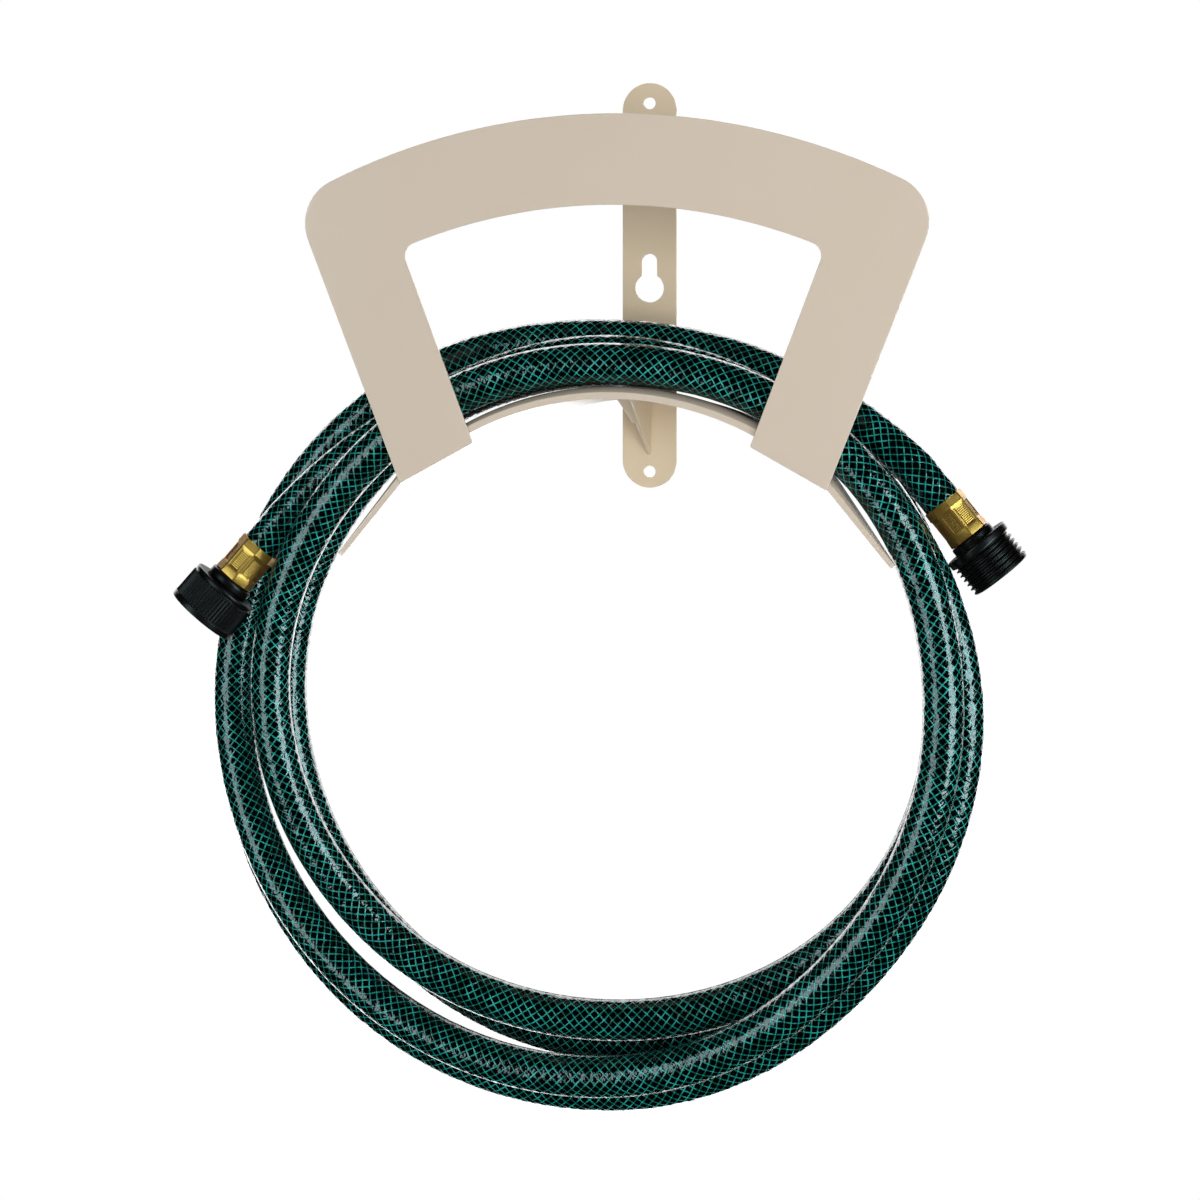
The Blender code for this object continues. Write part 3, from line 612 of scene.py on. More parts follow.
@dataclass
class Saddle:
    """Curved sheet that carries the coil, with a nose turned down along its front."""

    thickness: float = 0.0015
    radius: float = 0.130
    round_angle: float = math.radians(40)
    shoulder_radius: float = 0.050
    shoulder_angle: float = math.radians(14)
    half_width: float = 0.114
    fall: float = 0.096
    front: float = -0.0931
    back: float = -0.0023
    full_depth_half: float = 0.045
    corner_power: float = 1.4
    tip_depth: float = 0.002
    nose: float = 0.0055
    nose_at_tip: float = 0.0023
    roll: float = 0.0095
    roll_at_tip: float = 0.0018
    drop: float = 0.0028
    drop_at_tip: float = 0.0004
    taper_start: float = 0.082
    rim: float = 0.00035
    rings: int = 180
    roll_steps: int = 12
    measuring_steps: int = 4000
    lip_steps: int = 400
    # Rings of the rounding at each tip
    end_angles: tuple[float, ...] = (math.pi / 6, math.pi / 3, math.pi / 2)

    def line(self, distance: float) -> Triple:
        """Follow the top of the front edge.

        Args:
            distance: Distance along the sheet from its crown, negative to the left.

        Returns:
            x, z and the angle that the surface's normal leans outwards.
        """
        side, left = math.copysign(1.0, distance), abs(distance)
        angle = min(left, self.radius * self.round_angle) / self.radius
        x, z = self.radius * math.sin(angle), self.radius * (math.cos(angle) - 1)
        left -= self.radius * self.round_angle
        if left > 0:
            start, angle = angle, angle + min(left / self.shoulder_radius, self.shoulder_angle)
            x += self.shoulder_radius * (math.sin(angle) - math.sin(start))
            z += self.shoulder_radius * (math.cos(angle) - math.cos(start))
            left -= self.shoulder_radius * self.shoulder_angle
        if left > 0:
            x += left * math.cos(angle)
            z -= left * math.sin(angle)
        return side * x, z, side * angle

    def half_length(self) -> float:
        """Measure the sheet from the crown to a tip.

        Returns:
            The length at which the half width is reached.
        """
        steps = np.linspace(0.0, 2 * self.half_width, self.measuring_steps + 1)
        return float(np.interp(self.half_width, [self.line(s)[0] for s in steps], steps))

    def share(self, x: float, start: float) -> float:
        """Give 0 up to a distance from the centre, rising to 1 at a tip."""
        return min(max((abs(x) - start) / (self.half_width - start), 0.0), 1.0)

    def section(self, x: float) -> list[Pair]:
        """Outline the sheet across its length.

        Args:
            x: Distance from the centre.

        Returns:
            Depth behind the nose, and height over the top.
        """
        taper = self.share(x, self.taper_start)
        nose = self.nose + (self.nose_at_tip - self.nose) * taper
        roll = self.roll + (self.roll_at_tip - self.roll) * taper
        drop = self.drop + (self.drop_at_tip - self.drop) * taper
        full = self.back - self.front
        depth = full + (self.tip_depth - full) * (
            self.share(x, self.full_depth_half) ** self.corner_power)
        points = [(depth, 0.0)]
        for place in np.linspace(roll, 0.0, self.roll_steps + 1):
            points.append((float(place), -drop * (1 - float(place) / roll) ** 2))
        points += [(0.0, -nose), (self.thickness, -nose)]
        for place in np.linspace(self.thickness, roll, self.roll_steps + 1):
            sunk = drop * (1 - float(place) / roll) ** 2
            points.append((float(place), -sunk - self.thickness))
        points += [(depth, -self.thickness)]
        smooth = [0.0] * self.roll_steps
        return ease(points, [self.rim, *smooth, self.rim, self.rim, self.rim, *smooth, 0.0,
                             self.rim])

    def lip(self, x: float) -> float:
        """Find the nose's lower edge.

        Args:
            x: Distance from the centre.

        Returns:
            Its height, seen from the front.
        """
        places = []
        for distance in np.linspace(0.0, self.half_length(), self.lip_steps):
            along, z, lean = self.line(distance)
            nose = self.nose + (self.nose_at_tip - self.nose) * self.share(along, self.taper_start)
            places.append((along - nose * math.sin(lean), z - nose * math.cos(lean)))
        return float(np.interp(x, [p[0] for p in places], [p[1] for p in places]))

    def underside(self, y: float) -> float:
        """Give the height of the underside along the middle, at a depth."""
        return -self.thickness - self.fall * (y - self.front)

    def build(self, coat: Material) -> Object:
        """Build and dress the saddle.

        Args:
            coat: Its finish.

        Returns:
            The saddle.
        """
        half = self.half_length()
        rows = []
        for distance in np.linspace(-half, half, self.rings + 1):
            x, z, lean = self.line(distance)
            row = []
            for depth, height in self.section(x):
                rise = height - self.fall * depth
                row.append((x + rise * math.sin(lean), self.front + depth,
                            z + rise * math.cos(lean)))
            rows.append(row)
        grid = np.array(rows)
        ends = []
        for row, beside in ((grid[0], grid[1]), (grid[-1], grid[-2])):
            middle = row.mean(axis=0)
            outwards = middle - beside.mean(axis=0)
            outwards /= np.linalg.norm(outwards)
            half_size = float(np.ptp(row, axis=0).max()) / 2
            steps = []
            for angle in self.end_angles:
                slip = self.rim * (1 - math.cos(angle)) / half_size
                reach = self.rim * math.sin(angle) - self.rim
                steps.append(row + (middle - row) * slip + outwards * reach)
            ends.append(steps)
        grid = np.concatenate([np.array(ends[0][::-1]), grid[1:-1], np.array(ends[1])])
        mesh = grid_mesh("saddle_sheet", grid, Ends.CAPPED)
        return dress("saddle_sheet", mesh, coat, Body.HANGER, "saddle")


@dataclass
class FrontGuard:
    """Flat arch at the front that keeps the coil on the saddle."""

    back: float = -0.0934
    thickness: float = 0.0016
    crown: float = 0.1091
    arch_radius: float = 0.2672
    shoulder: float = 0.019
    window_crown: float = 0.0724
    window_radius: float = 0.2240
    window_corner: float = 0.0055
    outer_side: Pair = (0.1032, 0.3916)
    inner_side: Pair = (0.0656, 0.379)
    toe_drop: float = 0.0048
    toe_cut: float = 0.0009
    rim: float = 0.00035
    arch_steps: int = 64
    corner_steps: int = 20
    # Rounds in which a toe's corner settles on the saddle's lip
    toe_rounds: int = 30

    def half_arch(self, crown: float, radius: float, side: Pair, corner: float) -> list[Pair]:
        """Right half of an arch over a leaning side, with a rounded corner between them.

        Args:
            crown: Height of the arch's top.
            radius: Radius of the arch.
            side: The side's distance from the middle at z = 0, and its lean.
            corner: Radius of the corner.

        Returns:
            Points from the crown down to the side's line.
        """
        centre = crown - radius
        run = math.hypot(1.0, side[1])
        inward = (-1.0 / run, side[1] / run)
        along = (side[1] / run, 1.0 / run)
        base = (side[0] + corner * inward[0], corner * inward[1])
        offset = (base[0], base[1] - centre)
        half_b = offset[0] * along[0] + offset[1] * along[1]
        rest = offset[0] ** 2 + offset[1] ** 2 - (radius - corner) ** 2
        travel = -half_b + math.sqrt(half_b ** 2 - rest)
        middle = (base[0] + travel * along[0], base[1] + travel * along[1])
        top = math.atan2(middle[1] - centre, middle[0])
        low = math.atan2(-inward[1], -inward[0])
        return (arc((0, centre), radius, math.pi / 2, top, self.arch_steps)
                + arc(middle, corner, top, low, self.corner_steps)[1:])

    def build(self, coat: Material, saddle: Saddle) -> Object:
        """Build and dress the guard.

        Args:
            coat: Its finish.
            saddle: The sheet whose nose its legs stand on.

        Returns:
            The guard.
        """
        outer = self.half_arch(self.crown, self.arch_radius, self.outer_side, self.shoulder)
        inner = self.half_arch(self.window_crown, self.window_radius, self.inner_side,
                               self.window_corner)
        corners = []
        for (start, lean), drop in ((self.outer_side, 0.0), (self.inner_side, self.toe_drop)):
            x, z = start, 0.0
            for _ in range(self.toe_rounds):
                z = saddle.lip(x) - drop
                x = start + lean * z
            corners.append((x, z))
        right = outer + corners + inner[::-1]
        cuts = [0.0] * len(outer) + [self.toe_cut] * 2 + [0.0] * len(inner)
        left = [(-x, z) for x, z in right[1:-1]][::-1]
        outline = ease(right + left, cuts + cuts[1:-1][::-1])
        mesh = flat_sheet("arch_guard", outline[::-1], [], self.back, self.thickness, self.rim)
        return dress("arch_guard", mesh, coat, Body.HANGER, "front_guard")


@dataclass
class Gusset:
    """Upright web under the saddle, with a folded flange on its sloping edge."""

    thickness: float = 0.0016
    leg: float = 0.0248
    angle: float = math.radians(27.8)
    nose: float = 0.0015
    relief: float = 0.004
    join: float = 0.0003
    flange: float = 0.0045
    flange_end: float = 0.0012
    flange_depth: float = 0.030
    notch_start: float = 0.15
    notch_steps: int = 8
    rim: float = 0.0003
    rim_segments: int = 3
    sharp_angle: float = math.radians(30)

    def build(self, coat: Material, saddle: Saddle) -> Object:
        """Build and dress the gusset.

        Args:
            coat: Its finish.
            saddle: The sheet that it holds up.

        Returns:
            The gusset.
        """
        back, slope = saddle.back, math.tan(self.angle)
        toe = saddle.underside(back) - self.leg
        top = saddle.underside(back) - self.join
        front = back - (self.leg - self.join - self.nose) / (slope - saddle.fall)
        outline = [(back, toe), (back, top - self.relief)]
        for t in np.linspace(self.notch_start, 1.0, self.notch_steps):
            outline.append((back - self.relief * t ** 2,
                            top - self.relief * (1 - t) ** 2 + saddle.fall * self.relief * t ** 2))
        outline += [(front, saddle.underside(front) - self.join),
                    (front, toe + slope * (back - front))]
        bm = bmesh.new()
        half = self.thickness / 2
        self.block(bm, [[(x, y, z) for y, z in outline] for x in (-half, half)])
        end = back - self.flange_depth
        rise = self.thickness / math.cos(self.angle)
        rings = []
        for y, width in ((front, self.flange), (end, self.flange_end)):
            low = toe + slope * (back - y)
            high = min(low + rise, saddle.underside(y) - self.join)
            side = -half - width
            rings.append([(side, y, low), (0.0, y, low), (0.0, y, high), (side, y, high)])
        self.block(bm, rings)
        bmesh.ops.recalc_face_normals(bm, faces=bm.faces)
        mesh = bpy.data.meshes.new("gusset_web")
        bm.to_mesh(mesh)
        bm.free()
        piece = dress("gusset_web", mesh, coat, Body.HANGER, "gusset")
        bevel = piece.modifiers.new("rims", "BEVEL")
        bevel.width, bevel.segments = self.rim, self.rim_segments
        bevel.limit_method, bevel.angle_limit = "ANGLE", self.sharp_angle
        piece.modifiers.move(1, 0)
        return piece

    @staticmethod
    def block(bm: bmesh.types.BMesh, rings: Sequence[Sequence[Triple]]) -> None:
        """Add a closed solid between two rings of points.

        Args:
            bm: The mesh that gets it.
            rings: Its two ends.
        """
        first, second = ([bm.verts.new(point) for point in ring] for ring in rings)
        for i in range(len(first)):
            j = (i + 1) % len(first)
            bm.faces.new((first[i], first[j], second[j], second[i]))
        bm.faces.new(first)
        bm.faces.new(second)


@dataclass
class Hanger:
    """The welded hanger: wall plate, saddle, front guard and gusset."""

    plate: WallPlate = field(default_factory=WallPlate)
    saddle: Saddle = field(default_factory=Saddle)
    guard: FrontGuard = field(default_factory=FrontGuard)
    gusset: Gusset = field(default_factory=Gusset)

    def build(self) -> None:
        """Build the four sheets in one coat of powder."""
        coat = PowderCoat().build()
        self.plate.build(coat)
        self.saddle.build(coat)
        self.guard.build(coat, self.saddle)
        self.gusset.build(coat, self.saddle)


@dataclass
class CoiledHose:
    """The hose, wound clockwise round the saddle from its left end to its right end."""

    diameter: float = 0.0165
    length: float = 4.0
    middle_height: float = -0.125
    stations_per_loop: int = 8
    first_station: int = -1
    left_end: Vector = field(default_factory=lambda: Vector((-0.1524, -0.0758, -0.0698)))
    left_axis: Vector = field(default_factory=lambda: Vector((-0.626, -0.196, -0.755)).normalized())
    right_end: Vector = field(default_factory=lambda: Vector((0.1300, -0.0580, -0.0475)))
    right_axis: Vector = field(default_factory=lambda: Vector((0.631, 0.0, -0.776)).normalized())
    # Distance from the coil's middle and depth in front of the wall, every eighth of a loop
    stations: tuple[Pair, ...] = (
        (0.1445, 0.0665),
        (0.1360, 0.0670), (0.1325, 0.0674), (0.1390, 0.0674), (0.1480, 0.0670),
        (0.1678, 0.0625), (0.1797, 0.0530), (0.1740, 0.0410), (0.1545, 0.0290),
        (0.1386, 0.0215), (0.1315, 0.0214), (0.1302, 0.0285), (0.1385, 0.0370),
        (0.1532, 0.0445), (0.1538, 0.0465), (0.1510, 0.0445), (0.1400, 0.0400),
        (0.1298, 0.0372), (0.1310, 0.0395), (0.1312, 0.0460), (0.1360, 0.0545),
        (0.1383, 0.0650), (0.1445, 0.0750), (0.1462, 0.0828), (0.1390, 0.0845),
        (0.1335, 0.0846), (0.1350, 0.0846), (0.1322, 0.0840), (0.1390, 0.0820),
        (0.1575, 0.0775), (0.1700, 0.0690), (0.1704, 0.0585), (0.1575, 0.0515),
        (0.1417, 0.0500), (0.1467, 0.0562),
    )
    # Degrees round the coil's middle: between path points, and beside the straight ends
    path_step: float = 3.0
    end_gap: float = 2.25
    sides: int = 48
    sleeve_grip: float = 0.0015

    def rows(self) -> list[Triple]:
        """List the stations, with the straight ends at the couplings.

        Returns:
            Angle, radius and y of each.
        """
        step = 360 / self.stations_per_loop
        rows = [((self.first_station + n) * step, radius, -depth)
                for n, (radius, depth) in enumerate(self.stations)]
        loops = round(rows[-1][0] / 360)
        for end, axis, loop in ((self.left_end, self.left_axis, 0),
                                (self.right_end, self.right_axis, loops)):
            pair = []
            for point in (end, end - self.diameter * axis):
                up = point.z - self.middle_height
                angle = math.degrees(math.atan2(point.x, up)) + 360 * loop
                pair.append((angle, math.hypot(point.x, up), point.y))
            rows = pair + rows if loop == 0 else rows + pair[::-1]
        return rows

    def path(self) -> list[Vector]:
        """Run one smooth curve through the stations.

        Returns:
            Points of the centre line, from the left end to the right end.
        """
        rows = np.array(self.rows())
        angles, values = rows[:, 0], rows[:, 1:]
        gaps = np.diff(angles)[:, None]
        rises = np.diff(values, axis=0) / gaps
        slopes = np.vstack([rises[:1], (rises[:-1] * gaps[1:] + rises[1:] * gaps[:-1])
                            / (gaps[:-1] + gaps[1:]), rises[-1:]])
        first = math.ceil((angles[1] + self.end_gap) / self.path_step)
        last = math.floor((angles[-2] - self.end_gap) / self.path_step)
        points = [self.left_end, self.left_end - self.diameter * self.left_axis]
        for number in range(first, last + 1):
            angle = number * self.path_step
            i = int(np.searchsorted(angles, angle, side="right")) - 1
            span = angles[i + 1] - angles[i]
            t = (angle - angles[i]) / span
            radius, y = ((2 * t ** 3 - 3 * t ** 2 + 1) * values[i]
                         + (3 * t ** 2 - 2 * t ** 3) * values[i + 1]
                         + (t ** 3 - 2 * t ** 2 + t) * slopes[i] * span
                         + (t ** 3 - t ** 2) * slopes[i + 1] * span)
            turn = math.radians(angle)
            points.append(Vector((radius * math.sin(turn), y,
                                  self.middle_height + radius * math.cos(turn))))
        return points + [self.right_end - self.diameter * self.right_axis, self.right_end]

    def tube(self, path: Sequence[Vector]) -> Mesh:
        """Skin the path, and mark where each corner lies along and around the hose.

        Args:
            path: Points of the centre line.

        Returns:
            The tube.
        """
        knots = [path[0] + self.sleeve_grip * self.left_axis, *path,
                 path[-1] + self.sleeve_grip * self.right_axis]
        points = np.array(knots)
        steps = np.diff(points, axis=0)
        lengths = np.linalg.norm(steps, axis=1)
        steps /= lengths[:, None]
        along = np.concatenate([[0.0], np.cumsum(lengths)])
        tangents = np.vstack([steps[:1], steps[:-1] + steps[1:], steps[-1:]])
        tangents /= np.linalg.norm(tangents, axis=1)[:, None]
        across = np.cross(tangents[0], (0.0, 1.0, 0.0))
        turn = 2 * math.pi * np.arange(self.sides) / self.sides
        grid = []
        for point, tangent in zip(points, tangents):
            across = across - tangent * float(across @ tangent)
            across /= np.linalg.norm(across)
            beside = np.cross(tangent, across)
            grid.append(point + self.diameter / 2 * (np.outer(np.cos(turn), across)
                                                     + np.outer(np.sin(turn), beside)))
        mesh = grid_mesh("hose_tube", np.array(grid), Ends.CAPPED)
        corner_vertex = np.empty(len(mesh.loops), np.int32)
        mesh.loops.foreach_get("vertex_index", corner_vertex)
        ring, side = np.divmod(corner_vertex, self.sides)
        around = side / self.sides
        quads = len(mesh.polygons) - 2
        by_face = side[:quads * 4].reshape(-1, 4)
        wraps = (by_face.max(axis=1) == self.sides - 1) & (by_face.min(axis=1) == 0)
        seam = np.repeat(wraps, 4) & (side[:quads * 4] == 0)
        around[:quads * 4][seam] = 1.0
        for name, values in (("along", along[ring]), ("around", around)):
            attribute = mesh.attributes.new(name, "FLOAT", "CORNER")
            attribute.data.foreach_set("value", values.astype(np.float32))
        return mesh

    def build(self, couplings: Sequence[Object]) -> Object:
        """Args:
            couplings: The pieces on its two ends; not used.

        Returns:
            The hose.
        """
        path = self.path()
        hose = dress("hose_tube", self.tube(path), NettedHose().build(),
                     Body.HOSE_SET, "hose", steady=False)
        length = sum((b - a).length for a, b in zip(path, path[1:]))
        LOG.info("hose: %d path points, %.3f m", len(path), length)
        return hose


def turned_mesh(name: str, radii: np.ndarray, along: np.ndarray, place: Matrix) -> Mesh:
    """Turn a closed profile into a ring.

    Args:
        name: Name of the mesh.
        radii: Radius of each profile point at each angle, or one for all angles.
        along: Distance of each profile point along the axis.
        place: Where the axis stands.

    Returns:
        The mesh.
    """
    turn = 2 * math.pi * np.arange(radii.shape[1]) / radii.shape[1]
    grid = np.stack([radii * np.cos(turn), radii * np.sin(turn),
                     np.broadcast_to(along[:, None], radii.shape)], axis=-1)
    return grid_mesh(name, grid, Ends.LOOPED, place)


@dataclass
class BrassSleeve:
    """Eight-sided crimped sleeve with a knurled window in each side."""

    start: float = 0.0003
    length: float = 0.0175
    sides: int = 8
    turn: float = math.radians(-12)
    widest: float = 0.0091
    waist: float = 0.0088
    rear_band: float = 0.0035
    front_band: float = 0.0031
    slope: float = 0.0009
    inside: float = 0.00827
    throat: float = 0.0070
    corner: float = 0.00028
    bead: float = 0.00012
    margin: float = 0.0010
    sink: float = 0.00022
    pad: float = 0.00016
    knurl: float = 0.0008
    samples: int = 4
    frame: float = 0.0006
    bead_inset: float = 0.0007
    bead_width: float = 0.00015
    groove_share: float = 0.25
    rim: float = 0.0003
    # Length of the bead behind the windows, and its rise
    rear_bead: Pair = (0.0005, 0.00015)
    flare: float = 0.0001
    # Where the inside narrows from the hose to the spigot
    seat: Pair = (0.0022, 0.0025)

    def face_height(self, across: np.ndarray, along: float, half: float) -> np.ndarray:
        """Height of one side's knurled window.

        Args:
            across: Distances from the side's middle.
            along: Distance along the sleeve.
            half: Half the side's width.

        Returns:
            Height over the flat side at each distance.
        """
        low = self.start + self.rear_band + self.slope
        high = self.start + self.length - self.front_band - self.slope
        inset = np.minimum(half - np.abs(across), min(along - low, high - along) + self.frame)
        bead = self.bead * np.exp(-((inset - self.bead_inset) / self.bead_width) ** 2)
        sunk = np.clip((inset - self.margin) / self.bead_width, 0.0, 1.0)
        lines = np.minimum(np.abs((across / self.knurl + 0.5) % 1.0 - 0.5),
                           abs(((along - low) / self.knurl) % 1.0 - 0.5))
        pads = self.pad * np.clip(lines / self.groove_share, 0.0, 1.0)
        return bead + sunk * (pads - self.sink)

    def build(self, name: str, node: str, brass: Material, place: Matrix) -> Object:
        """Build and dress the sleeve.

        Args:
            name: Name of the piece.
            node: The solid that it stands for.
            brass: Its finish.
            place: Where the coupling's axis stands.

        Returns:
            The sleeve.
        """
        end = self.start + self.length
        rear = self.start + self.rear_band
        front = end - self.front_band
        step = self.knurl / self.samples
        window = np.arange(rear + self.slope, front - self.slope, step)
        bead_length, bead_rise = self.rear_bead
        outer = [(self.start, self.widest - self.rim), (self.start + self.rim, self.widest),
                 (rear - bead_length, self.widest), (rear - self.rim, self.widest + bead_rise),
                 (rear, self.widest + bead_rise)]
        outer += [(float(a), self.waist) for a in window]
        outer += [(front, self.widest - self.flare), (end - self.rim, self.widest + self.flare),
                  (end, self.widest - self.rim)]
        inner = [(end, self.throat), (self.start + self.seat[1], self.throat),
                 (self.start + self.seat[0], self.inside), (self.start, self.inside)]
        half_turn = math.pi / self.sides
        half = self.waist * math.sin(half_turn) - self.corner
        across = np.arange(-half, half + step / 2, step)
        grid = []
        for along, radius in outer:
            apothem = radius * math.cos(half_turn)
            height = np.zeros_like(across)
            if rear + self.slope <= along <= front - self.slope:
                height = self.face_height(across, along, half)
            row = []
            for side in range(self.sides):
                angle = self.turn + 2 * math.pi * (side + 0.5) / self.sides
                out = np.array((math.cos(angle), math.sin(angle)))
                beside = np.array((-out[1], out[0]))
                spread = across * radius / self.waist
                flat = np.outer(apothem + height, out) + np.outer(spread, beside)
                row.append(np.column_stack([flat, np.full(len(across), along)]))
            grid.append(np.concatenate(row))
        for along, radius in inner:
            flat = grid[0][:, :2]
            flat = flat / np.linalg.norm(flat, axis=1)[:, None] * radius
            grid.append(np.column_stack([flat, np.full(len(flat), along)]))
        mesh = grid_mesh(name, np.array(grid), Ends.LOOPED, place)
        return dress(name, mesh, brass, Body.HOSE_SET, node)


def coupling_place(end: Vector, axis: Vector) -> Matrix:
    """Stand a coupling on a hose end.

    Args:
        end: Middle of the hose's face.
        axis: Direction away from the hose.

    Returns:
        A frame whose +Z runs along the coupling.
    """
    sideways = Vector((0, -1, 0)).cross(axis).normalized()
    turned = Matrix((sideways, axis.cross(sideways), axis)).transposed().to_4x4()
    return Matrix.Translation(end) @ turned


def profile_arrays(points: Sequence[Pair], cuts: Sequence[float]) -> tuple[np.ndarray, np.ndarray]:
    """Ease a turned profile.

    Args:
        points: Radius and distance along the axis of each corner.
        cuts: How far each corner is rounded.

    Returns:
        The radii and the distances.
    """
    eased = np.array(ease(points, cuts))
    return eased[:, 0], eased[:, 1]


@dataclass
class Coupling:
    """What both couplings have: a spigot in the sleeve, a collar beside it and a thread."""

    collar: float
    collar_end: float
    thread_shares: Pair
    thread_fade: float
    segments: int
    shoulder: float = 0.0181
    bore: float = 0.0045
    spigot: float = 0.0058
    spigot_start: float = 0.0006
    thread_pitch: float = 0.0022

    def spigot_and_collar(self) -> list[Pair]:
        """Outline the coupling from its bore to the far corner of its collar."""
        return [(self.bore, self.spigot_start), (self.spigot, self.spigot_start),
                (self.spigot, self.shoulder), (self.collar, self.shoulder),
                (self.collar, self.collar_end)]

    def plain_ring(self, name: str, points: Sequence[Pair], cuts: Sequence[float],
                   place: Matrix) -> Mesh:
        """Turn a profile that is the same all round.

        Args:
            name: Name of the mesh.
            points: Radius and distance along the axis of each corner.
            cuts: How far each corner is rounded.
            place: Where the axis stands.

        Returns:
            The mesh.
        """
        radii, along = profile_arrays(points, cuts)
        return turned_mesh(name, np.tile(radii[:, None], self.segments), along, place)

    def thread(self, along: np.ndarray, turn: np.ndarray, span: Pair, depth: float) -> np.ndarray:
        """Wind a thread round a profile.

        Args:
            along: Distance of each profile point along the axis.
            turn: Angle of each column, in turns.
            span: Where the thread starts and ends.
            depth: Height of its crests over its roots.

        Returns:
            Its height at each point and angle.
        """
        ends = np.minimum(along - span[0], span[1] - along)[:, None]
        fade = np.clip(ends / self.thread_fade, 0.0, 1.0)
        phase = along[:, None] / self.thread_pitch - turn
        away = np.abs((phase % 1.0) - 0.5) * 2
        crest, root = self.thread_shares
        return depth * fade * np.clip((1 - root - away) / (1 - root - crest), 0.0, 1.0)


@dataclass
class FemaleCoupling(Coupling):
    """Left coupling: brass sleeve, tail, ribbed swivel nut and washer."""

    collar: float = 0.0100
    collar_end: float = 0.0217
    collar_cut: float = 0.0012
    neck: float = 0.0088
    flange: Pair = (0.0251, 0.0275)
    flange_radius: float = 0.0123
    nut_start: float = 0.0221
    nut_end: float = 0.0385
    nut_wall: float = 0.0026
    nut_hole: float = 0.0092
    nut_bore: float = 0.0134
    rear_radius: float = 0.0149
    groove_radius: float = 0.0142
    rib_radius: float = 0.0151
    front_radius: float = 0.0153
    groove: Pair = (0.0016, 0.0025)
    front_band: float = 0.0026
    # Rounding of the corners from the rear hole to the front bore
    nut_cuts: tuple[float, ...] = (FINE_WORK, 0.0008, 0.0003, 0.0002, 0.0002, 0.0003, 0.0002,
                                   0.0003, 0.0006, 0.0006)
    nut_floor_cut: float = 0.0004
    ribs: int = 60
    steps_per_rib: int = 6
    rib_depth: float = 0.0006
    rib_overlap: float = 0.00005
    thread_depth: float = 0.0006
    thread_span: Pair = (0.0312, 0.0376)
    thread_shares: Pair = (0.2, 0.3)
    thread_fade: float = 0.0008
    thread_step: float = 0.00018
    washer: Pair = (0.0278, 0.0303)
    washer_radii: Pair = (0.0070, 0.0125)
    segments: int = 96

    def build_tail(self, plastic: Material, place: Matrix) -> Object:
        """Build the tail, which leads from the hose into the nut that turns on it.

        Args:
            plastic: Its finish.
            place: Where the axis stands.

        Returns:
            The tail.
        """
        points = self.spigot_and_collar()
        points += [(self.neck, self.collar_end), (self.neck, self.flange[0]),
                   (self.flange_radius, self.flange[0]), (self.flange_radius, self.flange[1]),
                   (self.bore, self.flange[1])]
        cuts = [FINE_WORK] * 3 + [self.collar_cut] * 2 + [FINE_WORK] * 5
        mesh = self.plain_ring("left_tail", points, cuts, place)
        return dress("left_tail", mesh, plastic, Body.HOSE_SET, "female_tail")

    def build_nut(self, plastic: Material, place: Matrix) -> Object:
        """Build the nut, ribbed outside and threaded inside.

        Args:
            plastic: Its finish.
            place: Where the axis stands.

        Returns:
            The nut.
        """
        start, end = self.nut_start, self.nut_end
        groove_start, groove_end = start + self.groove[0], start + self.groove[1]
        band = end - self.front_band
        low, high = self.thread_span
        points = [(self.nut_hole, start), (self.rear_radius, start),
                  (self.rear_radius, groove_start), (self.groove_radius, groove_start),
                  (self.groove_radius, groove_end), (self.rib_radius, groove_end),
                  (self.rib_radius, band), (self.front_radius, band), (self.front_radius, end),
                  (self.nut_bore, end)]
        points += [(self.nut_bore, float(a)) for a in np.arange(high, low, -self.thread_step)]
        points += [(self.nut_bore, start + self.nut_wall), (self.nut_hole, start + self.nut_wall)]
        flat = len(points) - len(self.nut_cuts) - 2
        cuts = [*self.nut_cuts, *[0.0] * flat, self.nut_floor_cut, FINE_WORK]
        radii, along = profile_arrays(points, cuts)
        segments = self.ribs * self.steps_per_rib
        turn = np.arange(segments) / segments
        outer = radii[:, None] > (self.nut_bore + self.groove_radius) / 2
        ribbed = outer & ((along > groove_end) & (along < band + self.rib_overlap))[:, None]
        ripple = 0.5 - 0.5 * np.cos(2 * math.pi * self.ribs * turn)
        grid = radii[:, None] - np.where(ribbed, self.rib_depth * ripple, 0.0)
        inside = ~outer & ((along > low) & (along < high))[:, None]
        thread = self.thread(along, turn, self.thread_span, self.thread_depth)
        grid = grid - np.where(inside, thread, 0.0)
        mesh = turned_mesh("ribbed_nut", grid, along, place)
        return dress("ribbed_nut", mesh, plastic, Body.SWIVEL_NUT, "swivel_nut")

    def build_washer(self, rubber: Material, place: Matrix) -> Object:
        """Build the washer in the nut.

        Args:
            rubber: Its finish.
            place: Where the axis stands.

        Returns:
            The washer.
        """
        (low, high), (hole, rim) = self.washer, self.washer_radii
        points = [(hole, low), (rim, low), (rim, high), (hole, high)]
        mesh = self.plain_ring("nut_washer", points, [FINE_WORK] * 4, place)
        return dress("nut_washer", mesh, rubber, Body.SWIVEL_NUT, "hose_washer")

    def build(self, brass: Material, plastic: Material, rubber: Material,
              place: Matrix) -> list[Object]:
        """Build and dress the coupling.

        Args:
            brass: Finish of the sleeve.
            plastic: Finish of the tail and the nut.
            rubber: Finish of the washer.
            place: Where the axis stands.

        Returns:
            Its four pieces.
        """
        return [BrassSleeve().build("left_sleeve", "female_ferrule", brass, place),
                self.build_tail(plastic, place), self.build_nut(plastic, place),
                self.build_washer(rubber, place)]


